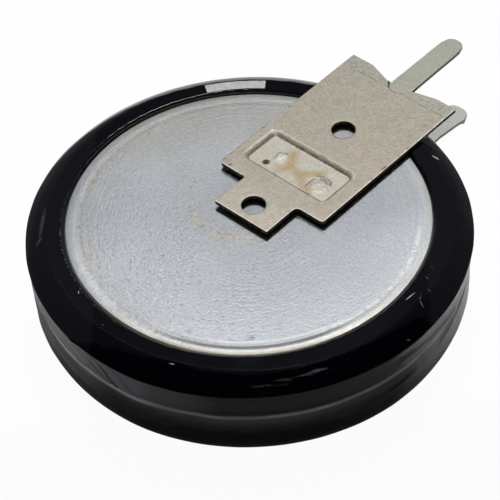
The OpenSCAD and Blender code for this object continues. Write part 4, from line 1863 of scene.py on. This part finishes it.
    def sheet_mesh(self) -> tuple[np.ndarray, list[Face], np.ndarray, int]:
        """Makes the closed sheet over the cell's face.

        Returns:
            Its corners, its faces, how much each corner belongs to a cut edge, and the number of
            corners of the outer face, which come first.
        """
        angles = np.linspace(0.0, 2.0 * math.pi, 64, endpoint=False)
        circle = np.stack([np.cos(angles), np.sin(angles)], axis=1)
        edges = [self.outline()] + [circle[::-1] * self.hole_r + hole for hole in self.holes]
        rings = [inset(edge, self.roll) for edge in edges]
        flat, triangles = self.triangulate(rings)
        count = len(flat)
        # The rings next to the edges and the inner face take a little of the cut edges' dark colour, which is
        # partly painted shade.
        rim = (np.arange(count) < sum(len(ring) for ring in rings)) * 0.15
        points = [np.column_stack([flat, self.upper_height(flat)])]
        points.append(np.column_stack([flat, self.lower_height(flat)]))
        side_value = [rim, np.full(count, 0.15)]
        faces = [tuple(t) for t in triangles] + [tuple(count + t[::-1]) for t in triangles]
        start, total = 0, 2 * count
        for edge, ring in zip(edges, rings):
            size = len(edge)
            loops = [np.arange(start, start + size)]
            for shape, height, value in self.edge_levels(edge, ring):
                points.append(np.column_stack([shape, height]))
                side_value.append(np.full(size, value))
                loops.append(np.arange(total, total + size))
                total += size
            loops.append(np.arange(count + start, count + start + size))
            for before, here in zip(loops, loops[1:]):
                after, then = np.roll(before, -1), np.roll(here, -1)
                faces += list(zip(before.tolist(), here.tolist(), then.tolist(), after.tolist()))
            start += size
        return np.vstack(points), faces, np.concatenate(side_value), count

    def build(self) -> bpy.types.Object:
        """Builds the terminal as one closed sheet and dresses it.

        Returns:
            The piece.
        """
        corners, faces, side, count = self.sheet_mesh()
        low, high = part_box(self.node)
        shaped = corners + [self.shift, 0.0, 0.0]
        if self.side is Side.UPPER:
            shaped[:, 2] = high.z / MM - self.gap - self.sheet + corners[:, 2]
        else:
            shaped[:, 2] = low.z / MM + self.gap + self.sheet - corners[:, 2]
        piece = new_piece(self.name, shaped, faces, self.finish.material())
        piece.data.set_sharp_from_angle(angle=math.radians(60.0))
        paint(piece, "side", side)
        self.dress(piece, corners[:, :2], np.arange(len(corners)) < count)
        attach(piece, "root")
        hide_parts(self.node)
        LOG.info("%s: %d corners", piece.name, len(shaped))
        return piece

    def dress(self, piece: bpy.types.Object, flat: np.ndarray, outer: np.ndarray) -> None:
        """Stores where the sheet is dished, welded, heated and nicked, and where highlights and shade are
        painted.

        Args:
            piece: The terminal.
            flat: Its corners, seen from above.
            outer: Which of them belong to the outer face.
        """
        self.dress_panel(piece, flat, outer)
        outline = self.outline()
        # The painted highlight on the top rims of the edges that face the front; weaker on the lower
        # terminal.
        ahead = flat + np.array([math.cos(FRONT), math.sin(FRONT)]) * 0.16
        rim = ease(loop_distance(flat, outline), 0.08, 0.04) * (loop_distance(ahead, outline) < 0.0) * outer
        rim = rim * ease(flat[:, 0], 12.0, 11.8)
        paint(piece, "rim", rim * (0.85 if self.side is Side.UPPER else 0.2))
        seat, near_pin = self.press.seat_distance(flat), flat[:, 0] > 9.0
        # Painted shade along the step of the pin's seat.
        scoop = ease(np.abs(seat + 0.01), 0.05, 0.015) * outer * (flat[:, 1] > -0.15)
        paint(piece, "scoop", scoop * near_pin)
        paint(piece, "seat", ease(seat, 0.02, -0.04) * near_pin)
        paint(piece, "weld", self.weld.rough_spots(flat) * outer)
        paint(piece, "pale", self.weld.sparkle(flat) * outer)
        paint(piece, "heat_tint", self.weld.heat(flat) * outer)
        nicks = spot(flat, 3.25, 1.74, 0.19, 0.18)
        for path, width in self.nicks:
            nicks = np.maximum(nicks, stroke(flat, path, width))
        paint(piece, "nick", nicks * outer)

    def dress_panel(self, piece: bpy.types.Object, flat: np.ndarray, outer: np.ndarray) -> None:
        """Stores the panel's floor and wall, the painted shade along its foot line and the painted highlight
        on the ridge of its far edges.

        Args:
            piece: The terminal.
            flat: Its corners, seen from above.
            outer: Which of them belong to the outer face.
        """
        slope, (mid_x, mid_y) = self.press.panel_slope, self.press.panel_mid
        x, y, edge = flat[:, 0], flat[:, 1], self.press.panel_distance(flat)
        paint(piece, "panel", ease(edge, 0.06, -0.02) * outer)
        paint(piece, "wall", ease(edge, 0.0, 0.05) * ease(edge, slope + 0.05, slope) * outer)
        paint(piece, "foot", ease(edge, -0.01, 0.02) * ease(edge, 0.16, 0.08) * outer)
        # The painted highlight on the ridge of the far edges.
        ridge = ease(np.abs(edge - slope + 0.03), 0.06, 0.02) * outer * (x > mid_x - 0.9)
        far = np.maximum(x > mid_x + 0.9, y > mid_y + 2.2)
        paint(piece, "ridge", ridge * far * np.where(y > mid_y + 1.9, 1.0, 0.65))


@dataclass
class InnerParts:
    """The CAD nodes that keep their own shape: cases, gaskets and everything sealed in the cells."""

    upper_steel: SatinSteel = SatinSteel("case_steel", bright=(0.60, 0.61, 0.62), dull=(0.50, 0.51, 0.52))
    lower_steel: SatinSteel = SatinSteel(
        "clean_steel", bright=(0.60, 0.61, 0.62), dull=(0.50, 0.51, 0.52), wear_and_painted_light=0.0
    )
    gasket: InnerFinish = InnerFinish(
        "gasket_black", (0.002, 0.002, 0.0025), (0.005, 0.005, 0.006), scale=4.0, rough=0.75, depth=0.004
    )
    carbon: InnerFinish = InnerFinish(
        "active_carbon", (0.006, 0.006, 0.006), (0.02, 0.02, 0.02), scale=9.0, rough=0.85, depth=0.02
    )
    layer: InnerFinish = InnerFinish(
        "conductive_layer", (0.02, 0.02, 0.021), (0.04, 0.04, 0.042), scale=5.0, rough=0.7, depth=0.005
    )
    paper: InnerFinish = InnerFinish(
        "wetted_paper", (0.74, 0.73, 0.68), (0.84, 0.83, 0.79), scale=12.0, rough=0.9, depth=0.01
    )

    def dress(self) -> None:
        """Gives each kept CAD node its finish."""
        gasket, carbon = self.gasket.material(), self.carbon.material()
        layer, paper = self.layer.material(), self.paper.material()
        for cell, case in (("upper", self.upper_steel), ("lower", self.lower_steel)):
            steel = case.material()
            finishes = {
                "case": steel,
                "gasket": gasket,
                "case_collector": layer,
                "lid_collector": layer,
                "case_electrode": carbon,
                "lid_electrode": carbon,
                "separator": paper,
                "lid": steel,
            }
            for part, finish in finishes.items():
                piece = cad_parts[f"{cell}_{part}"]
                if piece.hide_render:
                    continue
                piece.data.materials.clear()
                piece.data.materials.append(finish)
                LOG.info("%s: CAD node with %s", piece.name, finish.name)


@dataclass(frozen=True)
class Lamp:
    """A soft square lamp; its turn is from the front and its rise from the floor, in degrees."""

    name: str
    turn: float
    rise: float
    away: float
    size: float
    power: float
    colour: Colour
    glossy: bool = True

    def hang(self) -> None:
        """Hangs the lamp, turned towards the coin."""
        data = bpy.data.lights.new(self.name, "AREA")
        data.size, data.energy, data.color = self.size, self.power, self.colour
        made = bpy.data.objects.new(self.name, data)
        turn, rise = FRONT + math.radians(self.turn), math.radians(self.rise)
        back = Vector((math.cos(turn) * math.cos(rise), math.sin(turn) * math.cos(rise), math.sin(rise)))
        made.location = back * self.away
        made.rotation_mode = "QUATERNION"
        made.rotation_quaternion = back.to_track_quat("Z", "Y")
        made.visible_glossy = self.glossy
        bpy.context.scene.collection.objects.link(made)


@dataclass(frozen=True)
class PaleFloor:
    """The floor's white, which keeps shadows, stays pale to the eye, has painted shade in front and is dim to
    gloss at some sides.
    """

    name: str = "floor_white"
    seen_fill: float = 0.96
    gloss_fill: float = 0.04
    white: Colour = (0.92, 0.92, 0.92)
    # Painted shade on the floor in front, seen mostly in reflections, and painted dark reflections at some
    # sides.
    front_tone: Colour = (0.25, 0.25, 0.27)
    mirrored_tone: Colour = (0.03, 0.03, 0.035)
    shade_from: float = 6.5
    shade_to: float = 9.5

    def material(self) -> bpy.types.Material:
        """Builds the floor's material.

        Returns:
            The material.
        """
        tree = ShaderTree(self.name)
        path = tree.node("LightPath")
        glossy = Wire(tree, path.outputs["Is Glossy Ray"])
        seen = Wire(tree, path.outputs["Is Camera Ray"]) * self.seen_fill
        for ray in (glossy, Wire(tree, path.outputs["Is Transmission Ray"])):
            seen = seen.at_least(ray * self.gloss_fill)
        at = tree.coin_point()
        # Painted shade: the floor is darker in front, and darker still to gloss at some sides.
        front = tree.ease(at.nearer, self.shade_from, self.shade_to) * tree.ease(at.nearer, 60.0, 30.0)
        dim = tree.ease(at.radius, 15.5, 18.0) * tree.ease(at.aside.size(), 9.0, 14.0) * 0.95
        dim = dim.at_least(tree.ease(at.radius, 13.6, 13.0) * tree.ease(at.aside, 7.0, 4.0) * 0.6)
        tone = tree.mix(front, self.white, self.front_tone)
        tone = tree.mix(glossy * dim, tone, self.mirrored_tone)
        lit = tree.node("BsdfDiffuse", None, {"Color": tone})
        glow = tree.node("Emission", None, {"Color": WHITE, "Strength": 1.0})
        mixed = tree.node("MixShader", None, {0: seen, 1: lit.outputs[0], 2: glow.outputs[0]})
        clear = tree.node("BsdfTransparent")
        behind = Wire(tree, tree.node("NewGeometry").outputs["Backfacing"])
        shown = tree.node("MixShader", None, {0: behind, 1: mixed.outputs[0], 2: clear.outputs[0]})
        tree.links.new(shown.outputs[0], tree.output.inputs["Surface"])
        return tree.material


@dataclass
class Camera:
    """The camera, by its rise from the floor and its distance in radii of the lid's face."""

    rise: float = 45.10
    away: float = 11.43
    aim_front: float = 0.251
    aim_left: float = 0.002
    roll: float = -3.25
    sensor: float = 36.0
    lens: float = 151.128

    def place(self) -> None:
        """Makes the camera, turned towards the coin."""
        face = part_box("upper_lid")[1].z
        unit = FACE_R * MM
        rise, distance = math.radians(self.rise), self.away * unit
        front = Vector((math.cos(FRONT), math.sin(FRONT), 0.0))
        side = Vector((-math.sin(FRONT), math.cos(FRONT), 0.0))
        up = Vector((0.0, 0.0, 1.0))
        eye = front * math.cos(rise) * distance + up * (face + math.sin(rise) * distance)
        aim = front * self.aim_front * unit - side * self.aim_left * unit + up * face
        ahead = (aim - eye).normalized()
        right = ahead.cross(up).normalized()
        above = right.cross(ahead)
        roll = math.radians(self.roll)
        turned = right * math.cos(roll) + above * math.sin(roll)
        tilted = above * math.cos(roll) - right * math.sin(roll)
        data = bpy.data.cameras.new("camera")
        data.sensor_width = self.sensor
        data.lens = self.lens
        data.clip_start, data.clip_end = 0.005, 10.0
        made = bpy.data.objects.new("camera", data)
        pose = Matrix((turned, tilted, -ahead)).transposed().to_4x4()
        pose.translation = eye
        made.matrix_world = pose
        bpy.context.scene.collection.objects.link(made)
        bpy.context.scene.camera = made


@dataclass
class Studio:
    """A pale floor with a low backdrop, soft lamps, a dark board and the camera, in metres."""

    paint: PaleFloor = PaleFloor()
    floor_r: float = 0.9
    inner_rings: tuple[float, ...] = (0.03, 0.2)
    backdrop_h: float = 0.16
    steps: int = 96
    board_r: float = 0.24
    board_h: float = 0.42
    board_turn: float = 83.0
    board_steps: int = 40
    room_tone: Colour = (0.92, 0.95, 1.0)
    room_strength: float = 0.09
    lamps: tuple[Lamp, ...] = (
        Lamp("sheen", 171.0, 59.0, 0.4, 0.05, 0.22, (0.98, 0.985, 1.0)),
        Lamp("overhead", 172.0, 80.0, 0.4, 0.155, 0.36, (1.0, 0.955, 0.9)),
        Lamp("room", 176.0, 56.0, 0.5, 0.2, 1.4, (1.0, 1.0, 1.0), False),
    )

    def stand(
        self, name: str, corners: np.ndarray, faces: list[Face], finish: bpy.types.Material
    ) -> bpy.types.Object:
        """Makes one piece of the surroundings.

        Args:
            name: Its name.
            corners: Its corners in metres.
            faces: Its faces.
            finish: Its material.

        Returns:
            The object, linked to the scene.
        """
        mesh = bpy.data.meshes.new(name)
        mesh.from_pydata(corners.tolist(), [], faces)
        mesh.materials.append(finish)
        made = bpy.data.objects.new(name, mesh)
        bpy.context.scene.collection.objects.link(made)
        return made

    def band(self, first: int) -> list[Face]:
        """Lists the faces between the ring that starts at a corner and the next ring."""
        here, count = range(self.steps), self.steps
        after = [(i + 1) % count for i in here]
        return [(first + i, first + count + i, first + count + k, first + k) for i, k in zip(here, after)]

    def floor(self) -> None:
        """Builds the floor and the low backdrop round it."""
        count = self.steps
        angles = np.linspace(0.0, 2.0 * math.pi, count, endpoint=False)
        circle = np.stack([np.cos(angles), np.sin(angles), np.zeros(count)], 1)
        rings = [circle * radius for radius in (*self.inner_rings, self.floor_r)]
        middle = len(rings) * count
        faces = [(middle, i, (i + 1) % count) for i in range(count)] + self.band(0) + self.band(count)
        white = self.paint.material()
        self.stand("floor", np.vstack([*rings, [[0.0, 0.0, 0.0]]]), faces, white)
        raised = rings[-1] * 1.02 + [0.0, 0.0, self.backdrop_h]
        backdrop = self.stand("backdrop", np.vstack([rings[-1], raised]), self.band(0), white)
        backdrop.visible_glossy = False

    def board(self) -> None:
        """Builds the dark board that stands round the front of the coin, seen only in its gloss."""
        half, count = math.radians(self.board_turn), self.board_steps + 1
        angles = np.linspace(FRONT - half, FRONT + half, count)
        rows = []
        for radius, height in ((1.0, 0.0), (1.0, 0.6), (0.55, 1.0)):
            reach, rise = radius * self.board_r, height * self.board_h
            rows.append(np.stack([reach * np.cos(angles), reach * np.sin(angles), np.full(count, rise)], 1))
        faces = []
        for first in range(0, 2 * count, count):
            for i in range(first, first + self.board_steps):
                faces.append((i, i + 1, i + count + 1, i + count))
        black = ShaderTree("board_black").finish(Base_Color=(0.002, 0.002, 0.002), Roughness=0.9)
        made = self.stand("dark_board", np.vstack(rows), faces, black)
        made.visible_camera = False
        made.visible_diffuse = False
        made.visible_shadow = False
        made.visible_transmission = False

    def room(self) -> None:
        """Sets the dim room around everything."""
        world = bpy.data.worlds.new("dim_room")
        world.use_nodes = True
        back = world.node_tree.nodes["Background"]
        back.inputs["Color"].default_value = (*self.room_tone, 1.0)
        back.inputs["Strength"].default_value = self.room_strength
        bpy.context.scene.world = world

    def build(self) -> None:
        """Sets up everything round the coin."""
        bpy.context.scene.view_settings.view_transform = "Standard"
        self.floor()
        self.board()
        for lamp in self.lamps:
            lamp.hang()
        self.room()
        Camera().place()


def main() -> None:
    """Builds the pieces in order."""
    logging.basicConfig(level=logging.INFO, format="%(name)s: %(message)s")
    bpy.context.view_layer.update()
    Sleeve(ShrinkFilm()).build()
    Lid(SatinSteel()).build()
    Terminal(Side.UPPER, "upper_terminal_sheet", "upper_terminal", NickelSheet("upper_nickel")).build()
    shift = (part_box("lower_terminal")[1].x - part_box("upper_terminal")[1].x) / MM
    # The lower pin is painted lighter than the upper one, for the light that it gets from the floor.
    lower = NickelSheet("lower_nickel", shift=shift, pin=(0.64, 0.64, 0.61))
    Terminal(Side.LOWER, "lower_terminal_sheet", "lower_terminal", lower, shift=shift, tip_flare=0.16).build()
    InnerParts().dress()
    Studio().build()


if __name__ == "__main__":
    main()
